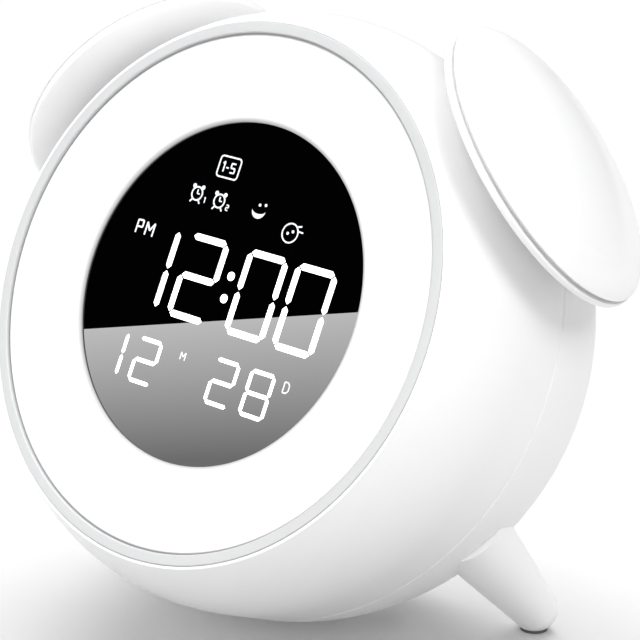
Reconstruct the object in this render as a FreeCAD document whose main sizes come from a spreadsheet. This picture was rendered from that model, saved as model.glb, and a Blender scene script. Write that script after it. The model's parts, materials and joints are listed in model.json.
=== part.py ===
"""Sunrise alarm clock: a round drum that leans back on its rear shell and two legs.

Lengths are in millimetres and angles in degrees. The drum frame has X to the right, Y into the
clock from the face and Z up along the face. The stand turns that frame back by the tilt and lifts
it, so the finished part has +Z up and its origin under the base pad, on the table.
"""
import FreeCAD
import Part
import math
import os
import Sketcher

from FreeCAD import Placement, Rotation, Vector

# Every size that can be changed by itself: name, value and what it measures
SIZES = (
    ("tilt", 25.0, "lean of the face from upright"),
    ("fit_gap", 0.1, "clearance between fixed pieces that locate each other"),
    ("run_gap", 0.3, "clearance round a piece that moves"),
    ("slide_gap", 0.08, "clearance of a guided plunger or skirt"),
    # Outline of the drum
    ("lip_radius", 70.7, "outer radius of the front lip"),
    ("lip_width", 0.7, "width of the front lip"),
    ("lip_setback", 0.25, "depth of the lip behind the bezel"),
    ("shoulder_arc", 47.5, "arc from the lip to the widest place"),
    ("bulge_radius", 79.1, "largest radius of the drum"),
    ("bulge_depth", 29.0, "depth of the widest place"),
    ("seam_drop", 0.5, "how far the seam lies inside the widest place"),
    ("seam_depth", 43.0, "depth of the seam"),
    ("seam_groove", 0.35, "chamfer on each side of the seam"),
    ("flank_arc", 66.0, "arc of the rear shell behind the seam"),
    ("heel_drop", 18.6, "how far the heel's edge lies inside the seam"),
    ("heel_depth", 88.0, "depth where the flank meets the heel"),
    ("heel_arc", 61.4, "arc from the flank to the control panel"),
    ("panel_drop", 12.5, "how far the control panel's edge lies inside the heel's edge"),
    ("panel_edge", 98.0, "depth of the control panel's edge"),
    ("panel_recess", 0.8, "step down to the control panel"),
    ("panel_margin", 1.0, "width of the step round the control panel"),
    ("shell_wall", 2.4, "wall of both housings"),
    ("tongue_length", 3.0, "length of the tongue across the seam"),
    ("tongue_wall", 1.4, "wall of the tongue"),
    # Face
    ("rebate_depth", 2.4, "depth of the rebate that holds the bezel and the light ring"),
    ("ledge_width", 4.5, "width of the ledge in the rebate"),
    ("ledge_thickness", 2.0, "thickness of the ledge"),
    ("bezel_width", 2.8, "visible width of the bezel"),
    ("bezel_lip", 1.4, "thickness of the bezel's clamping lip"),
    ("bezel_skirt", 0.6, "wall of the bezel's skirt"),
    ("ring_gap", 0.35, "gap between the bezel and the light ring"),
    ("ring_setback", 0.9, "depth of the light ring's outer edge"),
    ("ring_dish_arc", 105.0, "arc of the light ring's dished face"),
    ("ring_wall", 1.9, "wall of the light ring"),
    ("window_radius", 44.6, "radius of the display window"),
    ("window_bevel", 2.0, "width of the light ring's inner bevel"),
    ("window_drop", 0.65, "height of the light ring's inner bevel"),
    ("window_edge", 0.4, "thickness of the light ring at the display window"),
    ("lens_overlap", 2.3, "how far the lens reaches under the light ring"),
    ("lens_depth", 4.8, "depth of the display lens"),
    ("lens_thickness", 2.0, "thickness of the display lens"),
    # Light chamber and boards behind the face
    ("chamber_depth", 13.4, "depth of the light chamber's floor"),
    ("chamber_wall", 1.4, "walls and floor of the light chamber"),
    ("board_thickness", 1.6, "thickness of the circuit boards"),
    ("led_count", 24, "light-emitting diodes in the ring"),
    ("led_circle", 56.5, "radius of the ring of diodes"),
    ("led_side", 5.0, "side of a diode"),
    ("led_height", 1.2, "height of a diode"),
    ("frame_seat", 3.4, "width of the seat that holds the lens"),
    ("frame_wall", 1.5, "wall of the display frame"),
    ("frame_seat_wall", 1.35, "thickness of the seat that holds the lens"),
    ("frame_flange", 1.15, "thickness of the display frame's rear flange"),
    ("frame_bolt_circle", 56.5, "radius of the display frame's screws"),
    ("frame_bolt_angle", 7.5, "angle of the display frame's screws from the top"),
    ("module_width", 76.0, "width of the digit module"),
    ("module_height", 46.0, "height of the digit module"),
    ("chip_side", 10.0, "side of the controller chip"),
    ("chip_height", 1.6, "height of the controller chip"),
    ("capacitor_radius", 4.0, "radius of a smoothing capacitor"),
    ("capacitor_height", 9.0, "height of a smoothing capacitor"),
    ("capacitor_pitch", 11.0, "distance between the capacitors"),
    ("header_width", 14.0, "width of a cable header"),
    ("header_side", 5.5, "depth and height of a cable header"),
    ("header_low_x", 24.0, "sideways place of the lower headers"),
    ("header_low_z", -24.0, "height of the lower headers"),
    ("header_high_x", 36.0, "sideways place of the upper headers"),
    ("header_high_z", 10.0, "height of the upper headers"),
    ("capacitor_row", 22.0, "height of the row of capacitors"),
    # Screws
    ("screw_radius", 1.45, "radius of a screw's shank"),
    ("screw_head_radius", 2.8, "radius of a screw's head"),
    ("screw_head_height", 1.8, "height of a screw's head"),
    ("screw_length", 10.0, "length of a screw's shank"),
    ("boss_wall", 2.1, "wall of a screw boss"),
    ("bolt_angle_top", 20.0, "angle of the upper screws from the top"),
    ("bolt_angle_bottom", 157.0, "angle of the lower screws from the top"),
    ("well_floor", 4.0, "material under the heads of the housing screws"),
    ("chamber_bolt_angle", 45.0, "angle of the light chamber's screws from the top"),
    ("chamber_bolt_circle", 69.2, "radius of the light chamber's screws"),
    ("short_screw", 8.0, "length of the small screws"),
    # Ears
    ("ear_angle", 51.6, "angle of the ears from the top of the drum"),
    ("ear_lift", 1.8, "height of the ear's underside over the widest part of the drum"),
    ("ear_depth", 35.4, "depth of the ear's centre"),
    ("ear_base_radius", 38.0, "radius of the ear's underside"),
    ("ear_radius", 39.3, "largest radius of the ear's base"),
    ("ear_band", 2.0, "height of the ear's base band"),
    ("ear_edge", 0.9, "height of the rounding under the base band"),
    ("ear_groove", 1.1, "gap between the base band and the cap"),
    ("ear_height", 12.5, "height of the cap's crown over the underside"),
    ("cap_shoulder_radius", 30.0, "radius where the crown meets the shoulder"),
    ("cap_shoulder_height", 8.35, "height where the crown meets the shoulder"),
    ("cap_crown_arc", 110.0, "arc of the cap's crown"),
    ("cap_shoulder_arc", 13.5, "arc of the cap's shoulder"),
    ("cap_inset", 0.4, "how far the cap's rim lies inside the base band"),
    ("cap_wall", 2.0, "wall of the cap"),
    ("cap_travel", 0.8, "travel of an ear cap"),
    ("ear_floor", 1.8, "thickness of the ear's floor"),
    ("guide_radius", 29.5, "inner radius of the guide ring in the ear"),
    ("guide_wall", 1.5, "wall of the guide ring"),
    ("guide_height", 3.2, "height of the guide ring over the floor"),
    ("skirt_wall", 1.5, "wall of the cap's skirt"),
    ("hook_play", 0.2, "play of a snap hook in its window"),
    ("hook_width", 5.0, "width of a snap hook"),
    ("hook_reach", 1.2, "how far a snap hook grips"),
    ("hook_height", 1.2, "height of a snap hook"),
    ("pad_length", 40.0, "length of the pedestal under an ear"),
    ("pad_width", 13.4, "width of the pedestal under an ear"),
    ("ear_screw_pitch", 28.0, "distance between the screws of an ear"),
    ("ear_boss_height", 3.0, "height of the screw bosses over the ear's floor"),
    ("wire_hole_radius", 3.0, "radius of the wire hole under an ear"),
    ("switch_side", 6.0, "side of a push switch"),
    ("switch_height", 3.4, "height of a push switch"),
    ("ear_screw_length", 8.0, "length of an ear's screws"),
    ("plunger_radius", 1.7, "radius of a switch's plunger"),
    ("plunger_proud", 1.0, "how far a plunger stands out of its switch"),
    ("plunger_depth", 1.8, "how deep a plunger sits in its switch"),
    ("stem_radius", 3.0, "radius of the stem on a cap or key"),
    ("ear_board_radius", 9.0, "radius of the switch board in an ear"),
    # Control panel
    ("key_count", 5, "keys in the row"),
    ("key_pitch", 15.0, "distance between the keys"),
    ("key_row", -8.0, "height of the key row on the panel"),
    ("key_radius", 4.6, "radius of a key"),
    ("key_flange", 1.2, "width of a key's flange behind the panel"),
    ("key_flange_height", 1.3, "thickness of a key's flange"),
    ("key_proud", 1.4, "how far a key stands out of the panel"),
    ("key_crown", 0.4, "chamfer round a key's top"),
    ("key_travel", 0.6, "travel of a key"),
    ("key_post_x", 40.0, "sideways place of the key board's posts"),
    ("key_board_height", 13.0, "height of the key board"),
    ("speaker_centre", 22.0, "height of the speaker on the panel"),
    ("speaker_radius", 18.0, "radius of the speaker"),
    ("speaker_rim", 1.8, "thickness of the speaker's rim"),
    ("speaker_depth", 14.0, "depth of the speaker"),
    ("magnet_radius", 9.5, "radius of the speaker's magnet"),
    ("magnet_height", 5.0, "height of the speaker's magnet"),
    ("speaker_rib", 1.5, "wall of the rib round the speaker"),
    ("speaker_rib_height", 4.0, "height of the rib round the speaker"),
    ("slot_count", 7, "slots in the speaker grille"),
    ("slot_pitch", 4.2, "distance between the grille slots"),
    ("slot_width", 2.0, "width of a grille slot"),
    ("grille_radius", 15.5, "radius of the grille"),
    ("cone_rim", 1.5, "width of the ledge that holds the speaker cone"),
    ("cell_radius", 10.0, "radius of the backup cell"),
    ("cell_height", 3.2, "height of the backup cell"),
    ("cell_x", -17.0, "sideways place of the backup cell"),
    ("cell_z", -28.0, "height of the backup cell on the panel"),
    ("cell_play", 0.3, "clearance round the backup cell"),
    ("contact_height", 0.5, "thickness of a cell contact"),
    ("door_radius", 12.2, "radius of the battery door"),
    ("door_thickness", 1.8, "thickness of the battery door"),
    ("door_lug_reach", 14.5, "distance from the door's centre to its screw"),
    ("door_lug_radius", 4.0, "radius of the battery door's lug"),
    ("door_counterbore", 1.0, "depth of the counterbore in the door's lug"),
    ("door_travel", 8.0, "how far the door lifts off"),
    ("inlet_x", 21.0, "sideways place of the power inlet"),
    ("inlet_z", -27.0, "height of the power inlet on the panel"),
    ("inlet_nose_radius", 4.4, "outer radius of the power inlet's nose"),
    ("inlet_bore_radius", 3.1, "radius of the power inlet's bore"),
    ("inlet_pin_radius", 1.0, "radius of the power inlet's pin"),
    ("inlet_bore_depth", 7.5, "depth of the power inlet's bore"),
    ("inlet_side", 10.0, "side of the power inlet's body"),
    # Legs and pads
    ("leg_root_angle", 128.0, "angle of a leg's root from the top of the drum"),
    ("leg_root_depth", 68.0, "depth of a leg's root"),
    ("leg_foot_x", 61.0, "sideways place of a leg's foot"),
    ("leg_foot_y", 27.5, "distance of a leg's foot behind the base pad"),
    ("leg_root_radius", 9.3, "radius of a leg where it meets the drum"),
    ("leg_tip_radius", 6.3, "radius of a leg's round tip"),
    ("leg_boss_depth", 7.0, "depth of the seat of a leg's screw inside the drum"),
    ("leg_screw_length", 12.0, "length of a leg's screw"),
    ("leg_pad_radius", 3.6, "radius of the rubber pad under a leg"),
    ("leg_pad_height", 0.9, "thickness of the rubber pad under a leg"),
    ("base_pad_radius", 8.0, "radius of the base pad"),
    ("base_pad_height", 1.6, "thickness of the base pad"),
    ("base_pad_proud", 0.8, "how far the base pad stands out of the drum"),
)

SHEET = "Sizes"


class Size:
    """A number that knows its formula in the sheet, so a sketch can be bound to it."""

    def __init__(self, value, formula):
        self.value = value
        self.formula = formula

    def joined(self, sign, other, value):
        return Size(value, f"({self.formula} {sign} {formula_of(other)})")

    def __add__(self, other):
        return self.joined("+", other, self.value + value_of(other))

    def __sub__(self, other):
        return self.joined("-", other, self.value - value_of(other))

    def __mul__(self, other):
        return self.joined("*", other, self.value * value_of(other))

    def __truediv__(self, other):
        return self.joined("/", other, self.value / value_of(other))

    def __neg__(self):
        return self * -1

    def root(self):
        return Size(math.sqrt(self.value), f"sqrt({self.formula})")

    def sine(self):
        return Size(math.sin(math.radians(self.value)), f"sin({self.formula} * 1 deg)")

    def cosine(self):
        return Size(math.cos(math.radians(self.value)), f"cos({self.formula} * 1 deg)")


def value_of(size):
    """The number behind a size or a plain number."""
    return size.value if isinstance(size, Size) else float(size)


def formula_of(size):
    """The sheet formula behind a size or a plain number."""
    return size.formula if isinstance(size, Size) else repr(float(size))


doc = FreeCAD.newDocument("sunrise_alarm_clock")
sheet = doc.addObject("Spreadsheet::Sheet", SHEET)


class Sizes:
    """The sheet's named sizes as attributes."""


s = Sizes()
for row, (alias, number, meaning) in enumerate(SIZES, 1):
    sheet.set(f"A{row}", meaning)
    sheet.set(f"B{row}", str(number))
    sheet.setAlias(f"B{row}", alias)
    setattr(s, alias, Size(float(number), f"{SHEET}.{alias}"))
doc.recompute()


# Building blocks: every dimension that comes from the sheet is bound to it

def bind(obj, prop, size):
    """Sets a property and ties it to the sheet."""
    if isinstance(size, Size):
        obj.setExpression(prop, size.formula)
    else:
        setattr(obj, prop, size)


def seat(obj, x=0.0, y=0.0, z=0.0, rotation=None):
    """Places an object at a point of the drum frame."""
    obj.Placement = Placement(Vector(value_of(x), value_of(y), value_of(z)), rotation or Rotation())
    return obj


def pin_point(sketch, side, end, x, y):
    """Fixes one end of a side at a point of the sketch."""
    for kind, axis, size in (("DistanceX", -2, x), ("DistanceY", -1, y)):
        if abs(value_of(size)) < 1e-9:
            sketch.addConstraint(Sketcher.Constraint("PointOnObject", side, end, axis))
            continue
        index = sketch.addConstraint(Sketcher.Constraint(kind, -1, 1, side, end, value_of(size)))
        if isinstance(size, Size):
            sketch.setExpression(f"Constraints[{index}]", size.formula)


def arc_between(start, end, radius):
    """The short arc between two points; a positive radius turns left, a negative one right."""
    chord = end - start
    reach = abs(radius)
    left = Vector(-chord.y, chord.x, 0).normalize()
    rise = math.sqrt(max(reach ** 2 - (chord.Length / 2) ** 2, 0.0))
    centre = (start + end) * 0.5 + left * math.copysign(rise, radius)
    first, last = (start, end) if radius > 0 else (end, start)
    angles = [math.atan2(p.y - centre.y, p.x - centre.x) for p in (first, last)]
    if angles[1] < angles[0]:
        angles[1] += 2 * math.pi
    return Part.ArcOfCircle(Part.Circle(centre, Vector(0, 0, 1), reach), *angles)


def outline(sketch, corners):
    """Draws a closed, fixed outline. A corner is (x, y), or (x, y, radius) after an arc."""
    points = [Vector(value_of(c[0]), value_of(c[1]), 0) for c in corners]
    sides = []
    for index, corner in enumerate(corners):
        start, end = points[index - 1], points[index]
        if len(corner) == 3:
            radius = value_of(corner[2])
            side = sketch.addGeometry(arc_between(start, end, radius))
            first, last = (1, 2) if radius > 0 else (2, 1)
            held = sketch.addConstraint(Sketcher.Constraint("Radius", side, abs(radius)))
            if isinstance(corner[2], Size):
                sketch.setExpression(f"Constraints[{held}]", f"abs({corner[2].formula})")
        else:
            side = sketch.addGeometry(Part.LineSegment(start, end))
            first, last = 1, 2
        sides.append((side, first, last))
    for index, corner in enumerate(corners):
        side, _, last = sides[index]
        follower, first, _ = sides[(index + 1) % len(sides)]
        sketch.addConstraint(Sketcher.Constraint("Coincident", side, last, follower, first))
        pin_point(sketch, side, last, corner[0], corner[1])


def round_hole(sketch, x, y, radius):
    """Draws a fixed circle."""
    circle = sketch.addGeometry(Part.Circle(Vector(value_of(x), value_of(y), 0), Vector(0, 0, 1),
                                            value_of(radius)))
    pin_point(sketch, circle, 3, x, y)
    held = sketch.addConstraint(Sketcher.Constraint("Radius", circle, value_of(radius)))
    if isinstance(radius, Size):
        sketch.setExpression(f"Constraints[{held}]", radius.formula)


def new_body(name):
    """An empty body of its own."""
    body = doc.addObject("PartDesign::Body", name)
    body.Label = name
    return body


def sketch_on(body, role, name, offset=None):
    """A sketch on one of the body's own origin planes, moved along its normal by the offset."""
    sketch = body.newObject("Sketcher::SketchObject", name)
    plane = next(f for f in body.Origin.OriginFeatures if f.Role == role)
    sketch.AttachmentSupport = [(plane, "")]
    sketch.MapMode = "FlatFace"
    if offset is not None:
        sketch.AttachmentOffset = Placement(Vector(0, 0, value_of(offset)), Rotation())
        if isinstance(offset, Size):
            sketch.setExpression("AttachmentOffset.Base.z", offset.formula)
    return sketch


def turned(name, corners):
    """A body turned about the Y axis: corners are (radius, place along the axis)."""
    body = new_body(name)
    sketch = sketch_on(body, "XY_Plane", f"{name}_profile")
    outline(sketch, corners)
    turn = body.newObject("PartDesign::Revolution", f"{name}_turn")
    turn.Profile = sketch
    turn.ReferenceAxis = (sketch, ["V_Axis"])
    turn.Angle = 360.0
    sketch.Visibility = False
    return body


def plate(name, corners, start, thickness):
    """A body cut from sheet: corners are (x, z), and it fills the depth after its start."""
    body = new_body(name)
    sketch = sketch_on(body, "XZ_Plane", f"{name}_profile", -start)
    outline(sketch, corners)
    pad = body.newObject("PartDesign::Pad", f"{name}_pad")
    pad.Profile = sketch
    bind(pad, "Length", thickness)
    pad.Reversed = True
    return body


def drill(body, name, circles, depth=None):
    """Cuts round holes through a plate, from its front or as deep as stated."""
    doc.recompute()
    sketch = sketch_on(body, "XZ_Plane", f"{name}_holes", depth)
    for x, z, radius in circles:
        round_hole(sketch, x, z, radius)
    pocket = body.newObject("PartDesign::Pocket", name)
    pocket.Profile = sketch
    pocket.Type = "ThroughAll"
    pocket.Midplane = True
    return body


ALONG_DEPTH = Rotation(Vector(1, 0, 0), -90)


def rod(name, radius, start, end, x=0.0, z=0.0):
    """A cylinder along the drum's depth, from start to end."""
    cylinder = doc.addObject("Part::Cylinder", name)
    bind(cylinder, "Radius", radius)
    bind(cylinder, "Height", end - start)
    return seat(cylinder, x, start, z, ALONG_DEPTH)


def block(name, width, depth, height, x=0.0, y=0.0, z=0.0):
    """A box with its middle at x and z, starting at the depth y."""
    box = doc.addObject("Part::Box", name)
    bind(box, "Length", width)
    bind(box, "Width", depth)
    bind(box, "Height", height)
    return seat(box, -half(width) + x, y, -half(height) + z)


def half(size):
    """Half of a size."""
    return size / 2 if isinstance(size, Size) else Size(size / 2, repr(size / 2))


def fused(name, pieces):
    """One solid out of several."""
    joint = doc.addObject("Part::MultiFuse", name)
    joint.Shapes = pieces
    joint.Refine = True
    joint.Label = name
    return joint


def cut(name, base, tools):
    """A solid less its tools."""
    result = doc.addObject("Part::Cut", name)
    result.Base = base
    result.Tool = tools[0] if len(tools) == 1 else gathered(f"{name}_tools", tools)
    result.Refine = True
    result.Label = name
    return result


def gathered(name, pieces):
    """Several separate solids as one tool."""
    group = doc.addObject("Part::MultiFuse", name)
    group.Shapes = pieces
    return group


# Places that follow from the sizes, in the drum frame

def rise(arc, width, depth):
    """Height of an arc over its chord, from the chord's width and depth."""
    return arc - (arc * arc - (width * width + depth * depth) / 4).root()


seam_radius = s.bulge_radius - s.seam_drop
heel_radius = seam_radius - s.heel_drop
panel_radius = heel_radius - s.panel_drop
tongue_outer = seam_radius - s.shell_wall + s.fit_gap
tongue_inner = tongue_outer - s.tongue_wall
tongue_end = s.seam_depth + s.tongue_length
ledge_inner = s.lip_radius - s.lip_width - s.ledge_width
ledge_back = s.rebate_depth + s.ledge_thickness
head_clear = s.screw_head_radius + s.run_gap
thread = s.screw_radius + s.fit_gap
boss = s.screw_radius + s.boss_wall
well = head_clear + s.boss_wall
bolt_circle = tongue_inner - s.fit_gap - well
well_front = tongue_end - s.run_gap
well_seat = well_front + s.well_floor
panel_face = s.panel_edge - s.panel_recess
panel_back = panel_face - s.shell_wall
ear_reach = s.bulge_radius + s.ear_lift
TURN_ANGLES = (s.bolt_angle_top, s.bolt_angle_bottom, Size(360, "360") - s.bolt_angle_bottom,
               Size(360, "360") - s.bolt_angle_top)


def around(radius, angle):
    """A point on the face at an angle from the top: its x and z."""
    return radius * angle.sine(), radius * angle.cosine()


def circle_through(radius, start, end):
    """Centre of the left-turning arc between two points, as numbers."""
    first = Vector(*(value_of(v) for v in start), 0)
    last = Vector(*(value_of(v) for v in end), 0)
    chord = last - first
    left = Vector(-chord.y, chord.x, 0).normalize()
    return (first + last) * 0.5 + left * math.sqrt(radius ** 2 - (chord.Length / 2) ** 2)


# Stand: the drum leans back, and its lowest place rests on the base pad over the origin
lean = math.radians(s.tilt.value)
flank_centre = circle_through(s.flank_arc.value, (seam_radius, s.seam_depth + s.seam_groove),
                              (heel_radius, s.heel_depth))
lowest_depth = flank_centre.y + s.flank_arc.value * math.sin(lean)
lowest_radius = flank_centre.x + s.flank_arc.value * math.cos(lean)
BACK = -(lowest_depth * math.cos(lean) - lowest_radius * math.sin(lean))
LIFT = lowest_depth * math.sin(lean) + lowest_radius * math.cos(lean) + s.base_pad_proud.value
STAND = Placement(Vector(0, BACK, LIFT), Rotation(Vector(1, 0, 0), -s.tilt.value))
NODES = []


def node(obj, name, local=None, upright=False):
    """Puts a finished piece in its place on the stand and lists it under its name."""
    obj.Label = name
    if not upright:
        obj.Placement = STAND.multiply((local or Placement()).multiply(obj.Placement))
    NODES.append(obj)
    return obj


def solids(name, shapes):
    """Several identical solids as one piece list entry."""
    group = doc.addObject("Part::Feature", name)
    group.Shape = Part.makeCompound(shapes)
    return group


def screw_shape(name, length):
    """A pan-head screw along +Y whose head stands before its origin."""
    head = rod(f"{name}_head", s.screw_head_radius, -s.screw_head_height, Size(0, "0"))
    shank = rod(f"{name}_shank", s.screw_radius, Size(0, "0"), length)
    return fused(f"{name}_screw", [head, shank])


def copies(name, source, places):
    """Copies of a solid at several placements, as one group."""
    doc.recompute()
    shapes = []
    for place in places:
        shape = source.Shape.copy()
        shape.Placement = place.multiply(shape.Placement)
        shapes.append(shape)
    return solids(name, shapes)


def at(x, y, z, rotation=None):
    """A placement at a point of the drum frame."""
    return Placement(Vector(value_of(x), value_of(y), value_of(z)), rotation or Rotation())


HALF_TURN = Rotation(Vector(0, 0, 1), 180)

# Ear frames: Y points out of the drum, X runs round it and Z points at the face
def ear_place(side):
    """Placement of the ear on one side, with the side as 1 for the right or -1 for the left."""
    angle = math.radians(s.ear_angle.value) * side
    out = Vector(math.sin(angle), 0, math.cos(angle))
    along = Vector(math.cos(angle), 0, -math.sin(angle))
    frame = FreeCAD.Matrix(along.x, out.x, 0, 0, along.y, out.y, -1, 0, along.z, out.z, 0, 0, 0, 0, 0, 1)
    turn = Placement(frame).Rotation
    return Placement(out * ear_reach.value + Vector(0, s.ear_depth.value, 0), turn)


EARS = {"right": ear_place(1), "left": ear_place(-1)}
zero = Size(0, "0")

# Front housing: a turned shell with a pedestal under each ear and bosses for the screws
front_solid = turned("front_solid", [
    (0, s.lip_setback),
    (s.lip_radius, s.lip_setback),
    (s.bulge_radius, s.bulge_depth, s.shoulder_arc),
    (seam_radius, s.seam_depth - s.seam_groove),
    (seam_radius - s.seam_groove, s.seam_depth),
    (tongue_outer, s.seam_depth),
    (tongue_outer, tongue_end),
    (0, tongue_end),
])
shoulder_mid = (s.lip_radius + s.bulge_radius) / 2 - s.shell_wall + rise(
    s.shoulder_arc, s.bulge_radius - s.lip_radius, s.bulge_depth - s.lip_setback)
front_cavity = turned("front_cavity", [
    (0, -1),
    (s.lip_radius - s.lip_width, -1),
    (s.lip_radius - s.lip_width, s.rebate_depth),
    (ledge_inner, s.rebate_depth),
    (ledge_inner, ledge_back),
    (s.lip_radius - 0.4, ledge_back),
    (shoulder_mid, s.bulge_depth / 2),
    (s.bulge_radius - s.shell_wall, s.bulge_depth),
    (tongue_outer, s.seam_depth - s.shell_wall * 2),
    (tongue_inner, s.seam_depth - s.tongue_length),
    (tongue_inner, tongue_end + 1),
    (0, tongue_end + 1),
])


def pedestal(side):
    """The raised pad under an ear, with round ends."""
    low = -s.ear_lift - 8
    ends = [rod(f"pedestal_end_{side}_{i}", s.pad_width / 2, low, zero, x)
            for i, x in enumerate(((s.pad_length - s.pad_width) / 2, -(s.pad_length - s.pad_width) / 2))]
    middle = block(f"pedestal_middle_{side}", s.pad_length - s.pad_width, -low, s.pad_width, y=low)
    pad = gathered(f"pedestal_{side}", ends + [middle])
    pad.Placement = EARS[side]
    return pad


ear_seat = -(s.ear_lift + s.shell_wall + 0.7)


def ear_holes(side):
    """Holes through the housing under an ear: its wires in the middle and a screw on each side."""
    deep = ear_seat - 12
    tools = [rod(f"ear_wire_{side}", s.wire_hole_radius, deep, zero + 1)]
    for i, x in enumerate((s.ear_screw_pitch / 2, -s.ear_screw_pitch / 2)):
        tools.append(rod(f"ear_hole_{side}_{i}", thread, deep, zero + 1, x))
        tools.append(rod(f"ear_counterbore_{side}_{i}", head_clear, deep, ear_seat, x))
    holes = gathered(f"ear_holes_{side}", tools)
    holes.Placement = EARS[side]
    return holes


bolt_points = [around(bolt_circle, angle) for angle in TURN_ANGLES]
tab_points = [around(s.chamber_bolt_circle, s.chamber_bolt_angle + 90 * i) for i in range(4)]
frame_points = [around(s.frame_bolt_circle, s.frame_bolt_angle + 90 * i) for i in range(4)]
front_bosses = [rod(f"front_boss_{i}", boss, ledge_back - 1, well_front - s.fit_gap, x, z)
                for i, (x, z) in enumerate(bolt_points)]
front_bosses += [rod(f"chamber_boss_{i}", boss, ledge_back - 1, s.chamber_depth, x, z)
                 for i, (x, z) in enumerate(tab_points)]
front_holes = [rod(f"front_hole_{i}", thread, well_seat - s.screw_length - 1, tongue_end + 1, x, z)
               for i, (x, z) in enumerate(bolt_points)]
chamber_back = s.chamber_depth + s.chamber_wall
board_back = chamber_back + s.board_thickness
front_holes += [rod(f"chamber_hole_{i}", thread, board_back - s.short_screw - 0.4, s.chamber_depth + 1, x, z)
                for i, (x, z) in enumerate(tab_points)]
front_housing = cut(
    "front_housing",
    fused("front_outer", [front_solid, pedestal("right"), pedestal("left")]),
    [cut("front_room", front_cavity, front_bosses), ear_holes("right"), ear_holes("left")] + front_holes)
node(front_housing, "front_housing")

# Bezel, light ring and lens: the bezel clamps the ring's flange on the ledge
bezel_outer = s.lip_radius - s.lip_width - s.fit_gap
bezel_inner = bezel_outer - s.bezel_width
node(turned("bezel_ring", [
    (bezel_inner, 0),
    (bezel_outer, 0),
    (bezel_outer, s.rebate_depth),
    (bezel_outer - s.bezel_skirt, s.rebate_depth),
    (bezel_outer - s.bezel_skirt, s.bezel_lip),
    (bezel_inner, s.bezel_lip),
]), "bezel_ring")
ring_outer = bezel_inner - s.ring_gap
flange_outer = bezel_outer - s.bezel_skirt - s.fit_gap / 2
flange_front = s.bezel_lip + s.fit_gap / 2
lens_radius = s.window_radius + s.lens_overlap
lens_front = s.lens_depth - s.fit_gap / 2
lip_front = lens_front - s.window_edge
node(turned("light_ring", [
    (s.window_radius, lip_front),
    (s.window_radius + s.window_bevel, lip_front - s.window_drop),
    (ring_outer, s.ring_setback, -s.ring_dish_arc),
    (ring_outer, flange_front),
    (flange_outer, flange_front),
    (flange_outer, s.rebate_depth),
    (ledge_inner - 0.2, s.rebate_depth),
    (ledge_inner - 0.7, s.rebate_depth + 0.6),
    (lens_radius + s.run_gap, lens_front - s.window_edge - s.window_drop + s.ring_wall + 0.25),
    (lens_radius + s.run_gap, lens_front),
    (s.window_radius, lens_front),
]), "light_ring")
lens_back = s.lens_depth + s.lens_thickness
node(rod("display_lens", lens_radius, s.lens_depth, lens_back), "display_lens")

# Display frame, digit module and light chamber
frame_front = lens_back + s.fit_gap / 2
frame_outer = lens_radius + 0.4
seat_back = frame_front + s.frame_seat_wall
flange_back = board_back + s.frame_flange
frame_body = turned("frame_body", [
    (lens_radius - s.frame_seat, frame_front),
    (frame_outer, frame_front),
    (frame_outer, board_back),
    (s.frame_bolt_circle + boss, board_back),
    (s.frame_bolt_circle + boss, flange_back),
    (frame_outer - s.frame_wall, flange_back),
    (frame_outer - s.frame_wall, seat_back),
    (lens_radius - s.frame_seat, seat_back),
])
frame_holes = [rod(f"frame_hole_{i}", thread, chamber_back - 6, flange_back + s.board_thickness + 1, x, z)
               for i, (x, z) in enumerate(frame_points)]
node(cut("display_frame", frame_body, frame_holes), "display_frame")
node(block("digit_module", s.module_width, flange_back - seat_back, s.module_height, y=seat_back),
     "digit_module")
chamber_outer = ledge_inner - 0.5
chamber_inner = frame_outer + s.run_gap
chamber_wall_in = chamber_inner + s.chamber_wall


def tabs(name, start, end):
    """Four ears on the rim, each with a round end about its screw."""
    pieces = []
    for i, (x, z) in enumerate(tab_points):
        pieces.append(rod(f"{name}_{i}", boss, start, end, x, z))
        neck = block(f"{name}_neck_{i}", s.chamber_bolt_circle - chamber_outer + 2, end - start, boss * 2)
        neck.Placement = Placement(Vector(), Rotation(Vector(0, 1, 0), s.chamber_bolt_angle.value - 90 + 90 * i))
        neck.Placement = neck.Placement.multiply(at(chamber_outer - 2, start, -boss))
        pieces.append(neck)
    return pieces


chamber_body = turned("chamber_body", [
    (chamber_inner, lens_back - 0.8),
    (chamber_wall_in, lens_back - 0.8),
    (chamber_wall_in, s.chamber_depth),
    (chamber_outer - s.chamber_wall, s.chamber_depth),
    (chamber_outer - s.chamber_wall, s.rebate_depth + 0.9),
    (chamber_outer, s.rebate_depth + 0.9),
    (chamber_outer, chamber_back),
    (chamber_inner, chamber_back),
])
chamber_tabs = tabs("chamber_tab", s.chamber_depth, chamber_back)
frame_bosses = [rod(f"frame_boss_{i}", boss - 0.6, s.chamber_depth - 5, chamber_back, x, z)
                for i, (x, z) in enumerate(frame_points)]


def led_boxes(name, side, start, height):
    """A ring of square blocks, one at each diode."""
    boxes = []
    for i in range(int(s.led_count.value)):
        angle = 360.0 / s.led_count.value * i
        box = block(f"{name}_{i}", side, height, side)
        box.Placement = Placement(Vector(), Rotation(Vector(0, 1, 0), angle)).multiply(
            at(-side / 2, start, s.led_circle - side / 2))
        boxes.append(box)
    return boxes


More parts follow.
